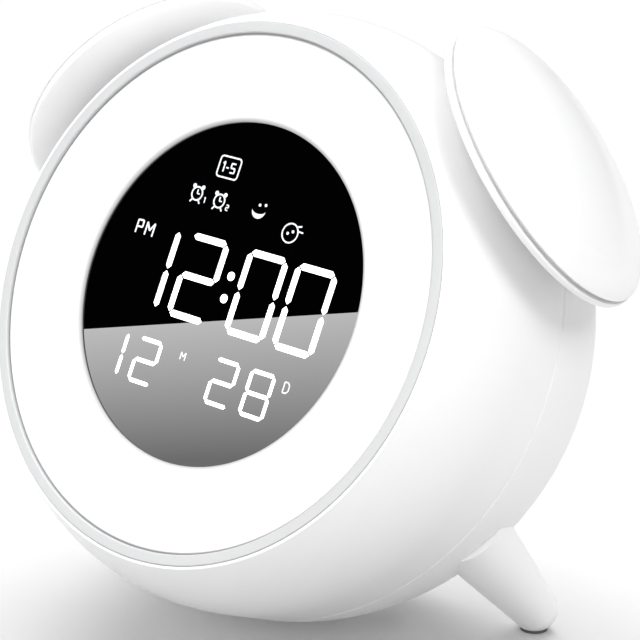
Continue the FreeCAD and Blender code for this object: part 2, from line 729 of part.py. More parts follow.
chamber_cuts = led_boxes("led_window", s.led_side + 0.4, s.chamber_depth - 1, s.chamber_wall + 2)
chamber_cuts += [rod(f"chamber_tab_hole_{i}", thread, s.chamber_depth - 1, chamber_back + 1, x, z)
                 for i, (x, z) in enumerate(tab_points)]
chamber_cuts += [rod(f"chamber_frame_hole_{i}", thread, s.chamber_depth - 6, chamber_back + 1, x, z)
                 for i, (x, z) in enumerate(frame_points)]
node(cut("light_chamber", fused("chamber_solid", [chamber_body] + chamber_tabs + frame_bosses), chamber_cuts),
     "light_chamber")
led_disc = rod("led_disc", chamber_outer, chamber_back, board_back)
led_tabs = tabs("led_tab", chamber_back, board_back)
led_cuts = [rod("led_window_hole", frame_outer + s.run_gap, chamber_back - 1, board_back + 1)]
led_cuts += [rod(f"led_hole_{i}", thread, chamber_back - 1, board_back + 1, x, z)
             for i, (x, z) in enumerate(tab_points + frame_points)]
node(cut("led_board", fused("led_plate", [led_disc] + led_tabs), led_cuts), "led_board")
diodes = led_boxes("led", s.led_side, chamber_back - s.led_height, s.led_height)
doc.recompute()
node(solids("leds", [box.Shape.copy() for box in diodes]), "leds")

# Main board behind the display frame, with its chip, capacitors and headers
main_back = flange_back + s.board_thickness
main_board = plate("main_board_disc", [
    (s.frame_bolt_circle + boss, 0),
    (0, s.frame_bolt_circle + boss, s.frame_bolt_circle + boss),
    (-(s.frame_bolt_circle + boss), 0, s.frame_bolt_circle + boss),
    (0, -(s.frame_bolt_circle + boss), s.frame_bolt_circle + boss),
], flange_back, s.board_thickness)
drill(main_board, "main_board_drill", [(x, z, thread) for x, z in frame_points], -main_back)
node(main_board, "main_board")
node(block("controller_chip", s.chip_side, s.chip_height, s.chip_side, y=main_back), "controller_chip")
capacitor = rod("capacitor", s.capacitor_radius, main_back, main_back + s.capacitor_height)
node(copies("capacitors", capacitor, [at(s.capacitor_pitch * i, 0, s.capacitor_row) for i in (-1, 0, 1)]), "capacitors")
header = block("header", s.header_width, s.header_side, s.header_side, y=main_back)
header_points = ((s.header_low_x, s.header_low_z), (s.header_high_x, s.header_high_z))
node(copies("headers", header, [at(x * side, 0, z) for x, z in header_points for side in (-1, 1)]), "headers")

# Screws behind the face
small_screw = screw_shape("small", s.short_screw)
face_places = [at(x, board_back, z, HALF_TURN) for x, z in tab_points]
face_places += [at(x, main_back, z, HALF_TURN) for x, z in frame_points]
node(copies("face_screws", small_screw, face_places), "face_screws")

# Rear housing: a turned shell with the control panel, screw wells, speaker rib, cell cup and posts
rear_solid = turned("rear_solid", [
    (0, s.seam_depth),
    (seam_radius - s.seam_groove, s.seam_depth),
    (seam_radius, s.seam_depth + s.seam_groove),
    (heel_radius, s.heel_depth, s.flank_arc),
    (panel_radius, s.panel_edge, s.heel_arc),
    (panel_radius - s.panel_margin, s.panel_edge),
    (panel_radius - s.panel_margin, panel_face),
    (0, panel_face),
])
flank_mid = (seam_radius + heel_radius) / 2 - s.shell_wall + rise(
    s.flank_arc, seam_radius - heel_radius, s.heel_depth - s.seam_depth - s.seam_groove)
tongue_room = tongue_outer + s.fit_gap
rear_cavity = turned("rear_cavity", [
    (0, s.seam_depth - 1),
    (tongue_room, s.seam_depth - 1),
    (tongue_room, tongue_end + s.run_gap),
    (tongue_room - 0.4, tongue_end + s.run_gap),
    (flank_mid, (s.seam_depth + s.heel_depth) / 2),
    (heel_radius - s.shell_wall * 0.72, s.heel_depth - s.shell_wall * 0.7),
    (panel_radius - s.shell_wall / 2, panel_back),
    (0, panel_back),
])
key_places = [s.key_pitch * (i - (s.key_count.value - 1) / 2) for i in range(int(s.key_count.value))]
key_flange_back = panel_back - s.run_gap - s.key_flange_height
key_hole = s.key_radius + s.run_gap
door_seat = panel_face - s.door_thickness
pocket_floor = door_seat - s.cell_height - s.contact_height
lug_x = s.cell_x + s.door_lug_reach
switch_top = key_flange_back - s.plunger_proud - 1.2
key_board_back = switch_top - s.switch_height
key_board_front = key_board_back - s.board_thickness
post_points = [(s.key_post_x, s.key_row), (-s.key_post_x, s.key_row)]
rib_outer = s.speaker_radius + 0.2 + s.speaker_rib
rear_kept = [rod(f"well_{i}", well, well_front, s.heel_depth, x, z) for i, (x, z) in enumerate(bolt_points)]
rib = cut("speaker_rib_ring",
          rod("rib_outside", rib_outer, panel_back - s.speaker_rib_height, panel_back + 1, z=s.speaker_centre),
          [rod("rib_inside", s.speaker_radius + 0.2, panel_back - s.speaker_rib_height - 1, panel_back + 2,
               z=s.speaker_centre)])
rear_kept.append(rib)
rear_kept.append(rod("cell_cup", s.cell_radius + s.cell_play + s.speaker_rib, pocket_floor - s.speaker_rib,
                     panel_back + 1, s.cell_x, s.cell_z))
rear_kept.append(rod("door_post", boss, door_seat - s.short_screw, panel_back + 1, lug_x, s.cell_z))
rear_kept += [rod(f"key_post_{i}", boss, key_board_back, panel_back + 1, x, z)
              for i, (x, z) in enumerate(post_points)]


def door_outline(name, clearance, start, end):
    """The battery door's shape: a disc and a lug, joined."""
    disc = rod(f"{name}_disc", s.door_radius + clearance, start, end, s.cell_x, s.cell_z)
    lug = rod(f"{name}_lug", s.door_lug_radius + clearance, start, end, lug_x, s.cell_z)
    neck = block(f"{name}_neck", s.door_lug_reach, end - start, (s.door_lug_radius + clearance) * 2,
                 (s.cell_x + lug_x) / 2, start, s.cell_z)
    return [disc, lug, neck]


rear_cuts = []
for i, (x, z) in enumerate(bolt_points):
    rear_cuts.append(rod(f"well_hole_{i}", thread, well_front - 1, well_seat + 1, x, z))
    rear_cuts.append(rod(f"well_bore_{i}", head_clear, well_seat, s.panel_edge, x, z))
rear_cuts += [rod(f"key_hole_{i}", key_hole, panel_back - 1, panel_face + 1, x, s.key_row)
              for i, x in enumerate(key_places)]
for i in range(int(s.slot_count.value)):
    offset = s.slot_pitch * (i - (s.slot_count.value - 1) / 2)
    reach = (s.grille_radius * s.grille_radius - offset * offset).root()
    rear_cuts.append(block(f"grille_slot_{i}", reach * 2, s.shell_wall + 2, s.slot_width,
                           y=panel_back - 1, z=s.speaker_centre + offset))
rear_cuts.append(rod("inlet_hole", s.inlet_nose_radius + s.fit_gap, panel_back - 1, panel_face + 1,
                     s.inlet_x, s.inlet_z))
rear_cuts += door_outline("door_recess", s.fit_gap, door_seat, panel_face + 1)
rear_cuts.append(rod("cell_pocket", s.cell_radius + s.cell_play, pocket_floor, door_seat + 1, s.cell_x, s.cell_z))
door_thread = s.screw_radius + s.slide_gap
door_head_seat = panel_face - s.door_counterbore
rear_cuts.append(rod("door_post_hole", door_thread, door_head_seat - s.short_screw - 0.4, door_seat + 1,
                     lug_x, s.cell_z))
rear_cuts += [rod(f"key_post_hole_{i}", thread, key_board_back - 1,
                  key_board_front + s.short_screw + 0.4, x, z) for i, (x, z) in enumerate(post_points)]

# Legs: each leans from the drum's flank to its foot, and a screw from inside holds it
DOWN = STAND.inverse()
root_radius = math.sqrt(s.flank_arc.value ** 2 - (s.leg_root_depth.value - flank_centre.y) ** 2) + flank_centre.x
pad_top = s.leg_pad_height
tip_height = value_of(pad_top) + math.sqrt(s.leg_tip_radius.value ** 2 - (s.leg_pad_radius.value + 0.2) ** 2)
LEGS = {}
for side, sign in (("right", 1), ("left", -1)):
    angle = math.radians(s.leg_root_angle.value) * sign
    root = Vector(root_radius * math.sin(angle), s.leg_root_depth.value, root_radius * math.cos(angle))
    foot = DOWN.multVec(Vector(s.leg_foot_x.value * sign, s.leg_foot_y.value, tip_height))
    axis = (foot - root).normalize()
    LEGS[side] = (Placement(root, Rotation(Vector(0, 1, 0), axis)), (foot - root).Length)
for side, (place, reach) in LEGS.items():
    seat_boss = rod(f"leg_seat_{side}", well, -s.leg_boss_depth, zero)
    seat_boss.Placement = place.multiply(seat_boss.Placement)
    rear_kept.append(seat_boss)
    for label, radius, start, end in (("wall_hole", thread, -s.leg_boss_depth - 1, zero + 3),
                                      ("head_room", head_clear, -s.leg_boss_depth * 2, -s.leg_boss_depth)):
        hole = rod(f"leg_{label}_{side}", radius, start, end)
        hole.Placement = place.multiply(hole.Placement)
        rear_cuts.append(hole)
base_recess = doc.addObject("Part::Cylinder", "base_recess")
bind(base_recess, "Radius", s.base_pad_radius + s.fit_gap)
bind(base_recess, "Height", s.base_pad_height + 5)
base_recess.Placement = DOWN.multiply(at(0, 0, -5))
rear_cuts.append(base_recess)
rear_housing = cut("rear_housing", rear_solid, [cut("rear_room", rear_cavity, rear_kept)] + rear_cuts)
node(rear_housing, "rear_housing")

# Keys: each rides on the plunger of a push switch
stem_bottom = switch_top + s.plunger_proud
plunger_room = s.plunger_radius + s.slide_gap
switch_body = cut("switch_body",
                  block("switch_box", s.switch_side, s.switch_height, s.switch_side, y=-s.switch_height),
                  [rod("switch_room", plunger_room, -s.plunger_depth - 1, zero + 1)])
switch_plunger = rod("switch_plunger", s.plunger_radius, -s.plunger_depth, s.plunger_proud)
key_corners = [
    (0, stem_bottom),
    (s.stem_radius, stem_bottom),
    (s.stem_radius, key_flange_back),
    (s.key_radius + s.key_flange, key_flange_back),
    (s.key_radius + s.key_flange, key_flange_back + s.key_flange_height),
    (s.key_radius, key_flange_back + s.key_flange_height),
    (s.key_radius, panel_face + s.key_proud - s.key_crown),
    (s.key_radius - s.key_crown, panel_face + s.key_proud),
    (0, panel_face + s.key_proud),
]
for i, x in enumerate(key_places, 1):
    node(turned(f"key_{i}", key_corners), f"key_{i}", at(x, 0, s.key_row))
    node(copies(f"key_plunger_{i}", switch_plunger, [at(x, switch_top, s.key_row)]), f"key_plunger_{i}")
node(copies("key_switches", switch_body, [at(x, switch_top, s.key_row) for x in key_places]), "key_switches")
board_edge = s.key_post_x + boss
board_top = s.key_row + s.key_board_height / 2
board_low = s.key_row - s.key_board_height / 2
key_board = plate("key_board", [
    (board_edge, board_low),
    (board_edge, board_top),
    (-board_edge, board_top),
    (-board_edge, board_low),
    (s.inlet_x - s.inlet_side / 2 - 2, board_low),
    (s.inlet_x - s.inlet_side / 2 - 2, s.inlet_z - s.inlet_side / 2 - 2),
    (s.inlet_x + s.inlet_side / 2 + 2, s.inlet_z - s.inlet_side / 2 - 2),
    (s.inlet_x + s.inlet_side / 2 + 2, board_low),
], key_board_front, s.board_thickness)
drill(key_board, "key_board_drill", [(x, z, thread) for x, z in post_points], -key_board_back)
node(key_board, "key_board")
node(copies("board_screws", small_screw, [at(x, key_board_front, z) for x, z in post_points]), "board_screws")

# Power inlet
inlet_shell = fused("inlet_shell", [
    block("inlet_box", s.inlet_side, panel_back - s.run_gap - key_board_back, s.inlet_side,
          s.inlet_x, key_board_back, s.inlet_z),
    rod("inlet_nose", s.inlet_nose_radius, key_board_back + 1, panel_face, s.inlet_x, s.inlet_z),
])
inlet_cut = cut("inlet_cut", inlet_shell, [
    rod("inlet_bore", s.inlet_bore_radius, panel_face - s.inlet_bore_depth, panel_face + 1, s.inlet_x, s.inlet_z)])
inlet_pin = rod("inlet_pin", s.inlet_pin_radius, panel_face - s.inlet_bore_depth - 1, panel_face - 1,
                s.inlet_x, s.inlet_z)
node(fused("power_inlet", [inlet_cut, inlet_pin]), "power_inlet")

# Speaker and its cone
cone_edge = s.speaker_radius - s.speaker_rim - 0.2
cone_seat = panel_back - s.speaker_rim + 0.6
node(turned("speaker", [
    (0, panel_back - s.speaker_depth),
    (s.magnet_radius, panel_back - s.speaker_depth),
    (s.magnet_radius, panel_back - s.speaker_depth + s.magnet_height),
    (s.speaker_radius - 1, panel_back - s.speaker_rim),
    (s.speaker_radius, panel_back - s.speaker_rim),
    (s.speaker_radius, panel_back),
    (cone_edge, panel_back),
    (cone_edge, cone_seat),
    (cone_edge - s.cone_rim, cone_seat),
    (s.magnet_radius - 0.5, panel_back - s.speaker_depth + s.magnet_height + 1.7),
    (0, panel_back - s.speaker_depth + s.magnet_height + 1.7),
]), "speaker", at(0, 0, s.speaker_centre))
node(turned("speaker_cone", [
    (0, cone_seat - 5),
    (s.cone_rim * 3, cone_seat - 5),
    (cone_edge - s.cone_rim - s.fit_gap, cone_seat),
    (cone_edge - s.fit_gap, cone_seat),
    (cone_edge - s.fit_gap, cone_seat + 0.6),
    (cone_edge - s.cone_rim - s.fit_gap * 2, cone_seat + 0.6),
    (s.cone_rim * 3 - 0.3, cone_seat - 4.2),
    (0, cone_seat - 4.2),
]), "speaker_cone", at(0, 0, s.speaker_centre))

# Backup cell under its door
node(rod("cell_contact", s.cell_radius - 3, pocket_floor, pocket_floor + s.contact_height, s.cell_x, s.cell_z),
     "cell_contact")
node(rod("backup_cell", s.cell_radius, pocket_floor + s.contact_height, door_seat, s.cell_x, s.cell_z),
     "backup_cell")
door_plate = fused("door_plate", door_outline("door", zero, door_seat, panel_face))
node(cut("battery_door", door_plate, [
    rod("door_counterbore", head_clear, door_head_seat, panel_face + 1, lug_x, s.cell_z),
    rod("door_hole", thread, door_seat - 1, panel_face + 1, lug_x, s.cell_z),
]), "battery_door")
node(copies("door_screw", small_screw, [at(lug_x, door_head_seat, s.cell_z, HALF_TURN)]), "door_screw")
long_screw = screw_shape("long", s.screw_length)
node(copies("housing_screws", long_screw, [at(x, well_seat, z, HALF_TURN) for x, z in bolt_points]),
     "housing_screws")

# Ears: a fixed base with a guide ring, and a cap that presses a switch
guide_top = s.ear_floor + s.guide_height
guide_outer = s.guide_radius + s.guide_wall
skirt_outer = s.guide_radius - s.slide_gap
skirt_bottom = s.ear_band + s.cap_travel + s.hook_play
rim_radius = s.ear_radius - s.cap_inset
rim_bottom = s.ear_band + s.ear_groove
under_shoulder = guide_top + s.cap_travel + 0.2
crown_rise = s.cap_crown_arc - (s.cap_crown_arc * s.cap_crown_arc
                                - s.cap_shoulder_radius * s.cap_shoulder_radius).root()
ear_board_top = s.ear_floor + s.board_thickness
ear_switch_top = ear_board_top + s.switch_height
ear_stem_bottom = ear_switch_top + s.plunger_proud
hook_middle = (skirt_outer - s.skirt_wall / 2 + skirt_outer + s.hook_reach) / 2
HOOK_ANGLES = (0, 120, 240)


def hooks(name, width, inner, outer, bottom, top):
    """Three blocks round the ear's axis, from an inner to an outer radius."""
    blocks = []
    for i, angle in enumerate(HOOK_ANGLES):
        box = block(f"{name}_{i}", outer - inner, top - bottom, width)
        box.Placement = Placement(Vector(), Rotation(Vector(0, 1, 0), angle)).multiply(
            at(inner, bottom, -width / 2))
        blocks.append(box)
    return blocks


ear_screw_points = (s.ear_screw_pitch / 2, -s.ear_screw_pitch / 2)
ear_screw = screw_shape("ear", s.ear_screw_length)
ear_screw_places = []
for side, place in EARS.items():
    base_body = turned(f"ear_base_body_{side}", [
        (0, 0),
        (s.ear_base_radius, 0),
        (s.ear_radius, s.ear_edge),
        (s.ear_radius, s.ear_band),
        (guide_outer, s.ear_band),
        (guide_outer, guide_top),
        (s.guide_radius, guide_top),
        (s.guide_radius, s.ear_floor),
        (0, s.ear_floor),
    ])
    bosses = [rod(f"ear_boss_{side}_{i}", boss, s.ear_floor / 2, s.ear_floor + s.ear_boss_height, x)
              for i, x in enumerate(ear_screw_points)]
    ear_cuts = [rod(f"ear_screw_hole_{side}_{i}", thread, zero - 1,
                    ear_seat + s.ear_screw_length + s.fit_gap * 3, x) for i, x in enumerate(ear_screw_points)]
    ear_cuts.append(rod(f"ear_floor_hole_{side}", s.wire_hole_radius, zero - 1, s.ear_floor + 1))
    ear_cuts += hooks(f"hook_window_{side}", s.hook_width + 0.6, s.guide_radius - 1, guide_outer + 1,
                      s.ear_band, skirt_bottom + s.hook_height + s.fit_gap)
    node(cut(f"ear_base_{side}", fused(f"ear_base_solid_{side}", [base_body] + bosses), ear_cuts),
         f"ear_base_{side}", place)
    cap_body = turned(f"ear_cap_body_{side}", [
        (0, ear_stem_bottom),
        (s.stem_radius, ear_stem_bottom),
        (s.stem_radius, s.ear_height - s.cap_wall),
        (skirt_outer - s.skirt_wall, s.ear_height - crown_rise - s.cap_wall + 0.45),
        (skirt_outer - s.skirt_wall, skirt_bottom),
        (skirt_outer, skirt_bottom),
        (skirt_outer, under_shoulder),
        (guide_outer + 0.5, under_shoulder),
        (rim_radius - s.cap_wall, rim_bottom),
        (rim_radius, rim_bottom),
        (s.cap_shoulder_radius, s.cap_shoulder_height, s.cap_shoulder_arc),
        (0, s.cap_shoulder_height + crown_rise, s.cap_crown_arc),
    ])
    snap_hooks = hooks(f"hook_{side}", s.hook_width, skirt_outer - s.skirt_wall / 2,
                       skirt_outer + s.hook_reach, skirt_bottom, skirt_bottom + s.hook_height)
    node(fused(f"ear_cap_{side}", [cap_body] + snap_hooks), f"ear_cap_{side}", place)
    ear_board = cut(f"ear_board_{side}", rod(f"ear_board_disc_{side}", s.ear_board_radius, s.ear_floor,
                                             ear_board_top),
                    [rod(f"ear_board_hole_{side}", 0.8, s.ear_floor - 1, ear_board_top + 1, 5.5)])
    node(ear_board, f"ear_board_{side}", place)
    node(copies(f"ear_switch_{side}", switch_body, [at(0, ear_switch_top, 0)]), f"ear_switch_{side}", place)
    node(copies(f"ear_plunger_{side}", switch_plunger, [at(0, ear_switch_top, 0)]), f"ear_plunger_{side}", place)
    ear_screw_places += [place.multiply(at(x, ear_seat, 0)) for x in ear_screw_points]
node(copies("ear_screws", ear_screw, ear_screw_places), "ear_screws")

# Legs with their screws and rubber pads, and the base pad
leg_screw = screw_shape("leg", s.leg_screw_length)
floor_cut = block("floor_cut", s.bulge_radius * 4, s.bulge_radius * 4, s.bulge_radius)
floor_cut.Placement = DOWN.multiply(at(s.bulge_radius * -2, s.bulge_radius * -2, pad_top - s.bulge_radius))
leg_start = Size(12, "12")
for side, (place, reach) in LEGS.items():
    spread = (s.leg_root_radius.value - s.leg_tip_radius.value) / reach
    cone = doc.addObject("Part::Cone", f"leg_cone_{side}")
    cone.Radius1 = s.leg_root_radius.value + spread * leg_start.value
    bind(cone, "Radius2", s.leg_tip_radius)
    cone.Height = reach + leg_start.value
    cone.Placement = place.multiply(at(0, -leg_start, 0, ALONG_DEPTH))
    tip = doc.addObject("Part::Sphere", f"leg_tip_{side}")
    bind(tip, "Radius", s.leg_tip_radius)
    tip.Placement = place.multiply(at(0, reach, 0))
    hole = rod(f"leg_hole_{side}", thread, zero - 2, s.leg_screw_length - s.leg_boss_depth + 0.4)
    hole.Placement = place.multiply(hole.Placement)
    leg = cut(f"leg_{side}", fused(f"leg_solid_{side}", [cone, tip]), [front_solid, rear_solid, floor_cut, hole])
    node(leg, f"leg_{side}")
node(copies("leg_screws", leg_screw, [place.multiply(at(0, -s.leg_boss_depth, 0))
                                      for place, _ in LEGS.values()]), "leg_screws")
foot_pad = doc.addObject("Part::Cylinder", "foot_pad")
bind(foot_pad, "Radius", s.leg_pad_radius)
bind(foot_pad, "Height", s.leg_pad_height)
node(copies("leg_pads", foot_pad, [at(s.leg_foot_x * i, s.leg_foot_y, 0) for i in (1, -1)]), "leg_pads",
     upright=True)
base_pad = doc.addObject("Part::Cylinder", "base_pad")
bind(base_pad, "Radius", s.base_pad_radius)
bind(base_pad, "Height", s.base_pad_height)
node(base_pad, "base_pad", upright=True)

doc.recompute()
for obj in doc.Objects:
    bad = [state for state in obj.State if state in ("Invalid", "Error")]
    if bad:
        raise RuntimeError(f"{obj.Name} is {bad[0]}")
os.makedirs("parts", exist_ok=True)
for obj in NODES:
    shape = obj.Shape
    if shape.isNull() or not shape.isValid():
        raise RuntimeError(f"{obj.Label} has no valid shape")
    shape.exportStep(f"parts/{obj.Label}.step")
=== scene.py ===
"""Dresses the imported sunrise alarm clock: finishes, fine surfaces, the lit display and a pale stage.

Lengths are in metres. The face frame has X to the right, Y into the clock and Z up along the face;
the stand leans it back and lifts it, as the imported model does.
"""
import json
import math

import bpy
import numpy as np
from bpy.props import FloatProperty, FloatVectorProperty, PointerProperty
from mathutils import Matrix, Vector

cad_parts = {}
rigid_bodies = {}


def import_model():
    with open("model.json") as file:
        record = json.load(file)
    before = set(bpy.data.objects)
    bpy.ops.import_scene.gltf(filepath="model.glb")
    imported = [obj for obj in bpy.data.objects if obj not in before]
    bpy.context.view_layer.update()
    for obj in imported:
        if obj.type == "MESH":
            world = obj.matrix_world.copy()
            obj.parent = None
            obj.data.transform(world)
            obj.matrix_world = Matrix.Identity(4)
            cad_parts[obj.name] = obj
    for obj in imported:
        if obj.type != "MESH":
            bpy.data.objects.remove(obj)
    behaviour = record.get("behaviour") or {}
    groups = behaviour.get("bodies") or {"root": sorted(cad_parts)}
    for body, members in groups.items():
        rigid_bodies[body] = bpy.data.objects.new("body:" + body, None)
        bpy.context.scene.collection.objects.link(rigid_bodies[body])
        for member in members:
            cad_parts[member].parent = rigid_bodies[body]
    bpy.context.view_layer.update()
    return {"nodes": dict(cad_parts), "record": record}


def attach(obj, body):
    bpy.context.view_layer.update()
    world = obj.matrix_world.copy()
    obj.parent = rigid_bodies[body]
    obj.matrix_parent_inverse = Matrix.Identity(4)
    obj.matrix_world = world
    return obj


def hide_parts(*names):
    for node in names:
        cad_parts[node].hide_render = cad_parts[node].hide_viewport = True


bl_info = {
    "name": "Sunrise Alarm Clock",
    "version": (1, 0, 0),
    "blender": (4, 5, 0),
    "location": "3D View > Sidebar > Clock",
    "description": "Builds the finishes, the face, the ears and the stage of a sunrise alarm clock",
    "category": "Object",
}

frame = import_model()
MM = 0.001


def size(name, description, default):
    """A length property in metres, from a default in millimetres."""
    return FloatProperty(name=name, description=description, default=default * MM, unit="LENGTH", precision=5)


def turn(name, description, default):
    """An angle property, from a default in degrees."""
    return FloatProperty(name=name, description=description, default=math.radians(default), unit="ROTATION")


def colour(name, description, default):
    """A colour property."""
    return FloatVectorProperty(name=name, description=description, default=default, size=4, subtype="COLOR",
                               min=0.0, max=1.0)


def amount(name, description, default):
    """A plain number."""
    return FloatProperty(name=name, description=description, default=default, subtype="FACTOR")


def power(name, description, default):
    """A lamp's power in watts."""
    return FloatProperty(name=name, description=description, default=default, unit="POWER")


class StandSettings(bpy.types.PropertyGroup):
    """How the stand holds the drum."""
    lean: turn("Lean", "Lean of the face from upright", 25.0)
    back: size("Back", "Place of the face's centre along Y", -32.7895)
    lift: size("Lift", "Height of the face's centre", 96.0064)


class EarSettings(bpy.types.PropertyGroup):
    """Sizes of the two ears."""
    angle: turn("Angle", "Angle of an ear from the top of the drum", 51.6)
    reach: size("Reach", "Distance from the drum's axis to the ear's underside", 80.9)
    depth: size("Depth", "Depth of the ear's centre", 35.4)
    underside: size("Underside radius", "Radius of the flat underside", 38.0)
    radius: size("Radius", "Largest radius of the base band", 39.3)
    band: size("Band", "Height of the base band", 2.0)
    groove: size("Groove", "Gap between the band and the cap", 0.95)
    inset: size("Inset", "How far the cap's rim lies inside the band", 0.4)
    skirt: size("Skirt", "Width of the cap's lower rim", 1.0)
    ridge_height: size("Ridge height", "Height of the ridge inside the cap's rim", 3.4)
    ridge_width: size("Ridge width", "Width of that ridge", 1.2)
    ridge_gap: size("Ridge gap", "Gap between that ridge and the cap's lower rim", 0.5)
    shoulder_radius: size("Shoulder radius", "Radius where the crown meets the shoulder", 30.0)
    shoulder_height: size("Shoulder height", "Height where the crown meets the shoulder", 8.15)
    shoulder_arc: size("Shoulder arc", "Arc of the shoulder", 14.6)
    crown_arc: size("Crown arc", "Arc of the crown", 110.0)
    wall_outer: size("Wall outer radius", "Outer radius of the wall that the cap hooks over", 31.0)
    wall_inner: size("Wall inner radius", "Inner radius of that wall", 29.5)
    wall_height: size("Wall height", "Height of that wall", 5.0)
    wall_room: size("Wall room", "Room between that wall and the cap", 0.5)
    floor: size("Floor", "Thickness of the base's floor", 1.8)
    wire_hole: size("Wire hole", "Radius of the hole for the wires", 3.1)
    ceiling: size("Ceiling", "Height of the cap's underside at its middle", 10.3)
    ceiling_edge: size("Ceiling edge", "Height of the cap's underside at the hooks", 6.9)
    hook_inner: size("Hook inner radius", "Inner radius of the cap's hooking skirt", 27.9)
    hook_outer: size("Hook outer radius", "Outer radius of the cap's hooking skirt", 29.42)
    hook_end: size("Hook end", "Height of the skirt's end", 3.0)
    hook_root: size("Hook root", "Height of the skirt's outer root", 6.0)


class FaceSettings(bpy.types.PropertyGroup):
    """Sizes of the bezel, the light ring and the lens."""
    bezel_outer: size("Bezel outer radius", "Outer radius of the bezel", 69.9)
    bezel_inner: size("Bezel inner radius", "Inner radius of the bezel", 67.1)
    bezel_depth: size("Bezel depth", "Depth of the bezel", 2.4)
    bezel_face: size("Bezel face", "Thickness of the bezel's front", 1.4)
    bezel_wall: size("Bezel wall", "Thickness of the bezel's outer wall", 0.6)
    ring_outer: size("Ring outer radius", "Outer radius of the light ring", 66.75)
    ring_setback: size("Ring setback", "Depth of the light ring's outer edge", 0.9)
    ring_edge: size("Ring edge", "Width and depth of the rounding at the light ring's outer edge", 0.35)
    ring_edge_arc: size("Ring edge arc", "Arc of that rounding", 0.36)
    ring_dish: size("Ring dish", "Arc of the light ring's dished face", 105.0)
    ring_body: size("Ring body radius", "Radius of the light ring's back edge", 65.3)
    ring_lip: size("Ring lip", "Thickness of the light ring over the lens", 0.45)
    window: size("Window radius", "Radius of the display window", 44.6)
    bevel: size("Bevel", "Width of the bevel round the window", 2.0)
    bevel_depth: size("Bevel depth", "Depth of that bevel", 0.65)
    bevel_arc: size("Bevel arc", "Arc of that bevel", 2.6)
    lens_radius: size("Lens radius", "Radius of the display lens", 46.9)
    lens_depth: size("Lens depth", "Depth of the display lens", 4.8)
    lens_thickness: size("Lens thickness", "Thickness of the display lens", 2.0)
    lens_chamfer: size("Lens chamfer", "Bevel of the lens's front edge", 0.2)
    lens_room: size("Lens room", "Room round the lens in the light ring", 0.3)
    play: size("Play", "Play between the pieces of the face", 0.05)
    glow: amount("Glow", "Brightness of the light ring", 0.35)


class DisplaySettings(bpy.types.PropertyGroup):
    """Layout of the lit digits."""
    turned: turn("Turn", "Turn of the digits on the lens", -3.1)
    proud: size("Proud", "Height of the lit shapes over the lens", 0.03)
    time_height: size("Time height", "Height of a time digit between its bars' middles", 20.6)
    time_width: size("Time width", "Width of a time digit between its bars' middles", 11.7)
    time_bar: size("Time bar", "Width of a bar of a time digit", 1.75)
    date_height: size("Date height", "Height of a date digit between its bars' middles", 11.1)
    date_width: size("Date width", "Width of a date digit between its bars' middles", 7.3)
    date_bar: size("Date bar", "Width of a bar of a date digit", 1.05)
    glow: amount("Glow", "Brightness of the digits", 2.2)
    sign_glow: amount("Sign glow", "Brightness of the small signs", 0.3)


class FinishSettings(bpy.types.PropertyGroup):
    """Colours of the finishes."""
    shell: colour("Shell", "Moulded shell", (0.88, 0.88, 0.885, 1.0))
    bezel: colour("Bezel", "Bezel", (0.56, 0.565, 0.57, 1.0))
    diffuser: colour("Diffuser", "Light ring", (0.93, 0.93, 0.93, 1.0))
    lens: colour("Lens", "Display lens", (0.0005, 0.0005, 0.0006, 1.0))
    digits: colour("Digits", "Lit digits", (0.96, 0.98, 1.0, 1.0))
    signs: colour("Signs", "Small lit signs", (0.80, 0.82, 0.86, 1.0))
    keys: colour("Keys", "Keys on the control panel", (0.50, 0.51, 0.53, 1.0))
    rubber: colour("Rubber", "Pads", (0.10, 0.10, 0.105, 1.0))


class StageSettings(bpy.types.PropertyGroup):
    """Camera, lights and floor."""
    camera_place: FloatVectorProperty(name="Camera place", description="Where the camera stands",
                                      default=(0.38749, -0.46253, 0.25740),
                                      subtype="TRANSLATION", unit="LENGTH")
    azimuth: turn("Azimuth", "Turn of the camera round the clock", 39.211)
    elevation: turn("Elevation", "Height of the camera as an angle", 16.357)
    lens: FloatProperty(name="Lens", description="Focal length for a 36 mm sensor", default=134.46)
    sky: amount("Sky", "Strength of the even light", 0.36)
    overhead: amount("Overhead", "Strength of the soft light from above", 1.3)
    floor_glow: amount("Floor glow", "How much the paper floor shines by itself", 0.06)
    floor_light: amount("Floor light", "Strength of the light from behind that only the floor takes", 2.3)
    key: power("Key light", "Power of the softbox", 7.5)
    side: power("Side light", "Power of the light at the right", 7.0)
    fill: power("Fill light", "Power of the fill light", 3.2)
    card: amount("Card", "Brightness of the card that the lens mirrors", 4.2)
    card_slope: turn("Card slope", "Slope of that card's edge in the face's plane", 13.35)


# Places: from the face frame to the table's frame

def stand_matrix(stand):
    """Face frame to table frame: a turn about X by minus the lean, then the stand's offsets."""
    return Matrix.Translation((0.0, stand.back, stand.lift)) @ Matrix.Rotation(-stand.lean, 4, "X")


def ear_matrix(stand, ears, side):
    """Ear frame to table frame; its Y points out of the drum and its X runs round the drum."""
    angle = ears.angle * side
    out = Vector((math.sin(angle), 0.0, math.cos(angle)))
    along = Vector((math.cos(angle), 0.0, -math.sin(angle)))
    local = Matrix.Identity(4)
    local.col[0][:3], local.col[1][:3], local.col[2][:3] = along, out, (0.0, -1.0, 0.0)
    local.col[3][:3] = out * ears.reach + Vector((0.0, ears.depth, 0.0))
    return stand_matrix(stand) @ local


def moved(points, matrix):
    """Points times the matrix, as one array."""
    m = np.array(matrix)
    return points @ m[:3, :3].T + m[:3, 3]


# Surfaces worked out as arrays

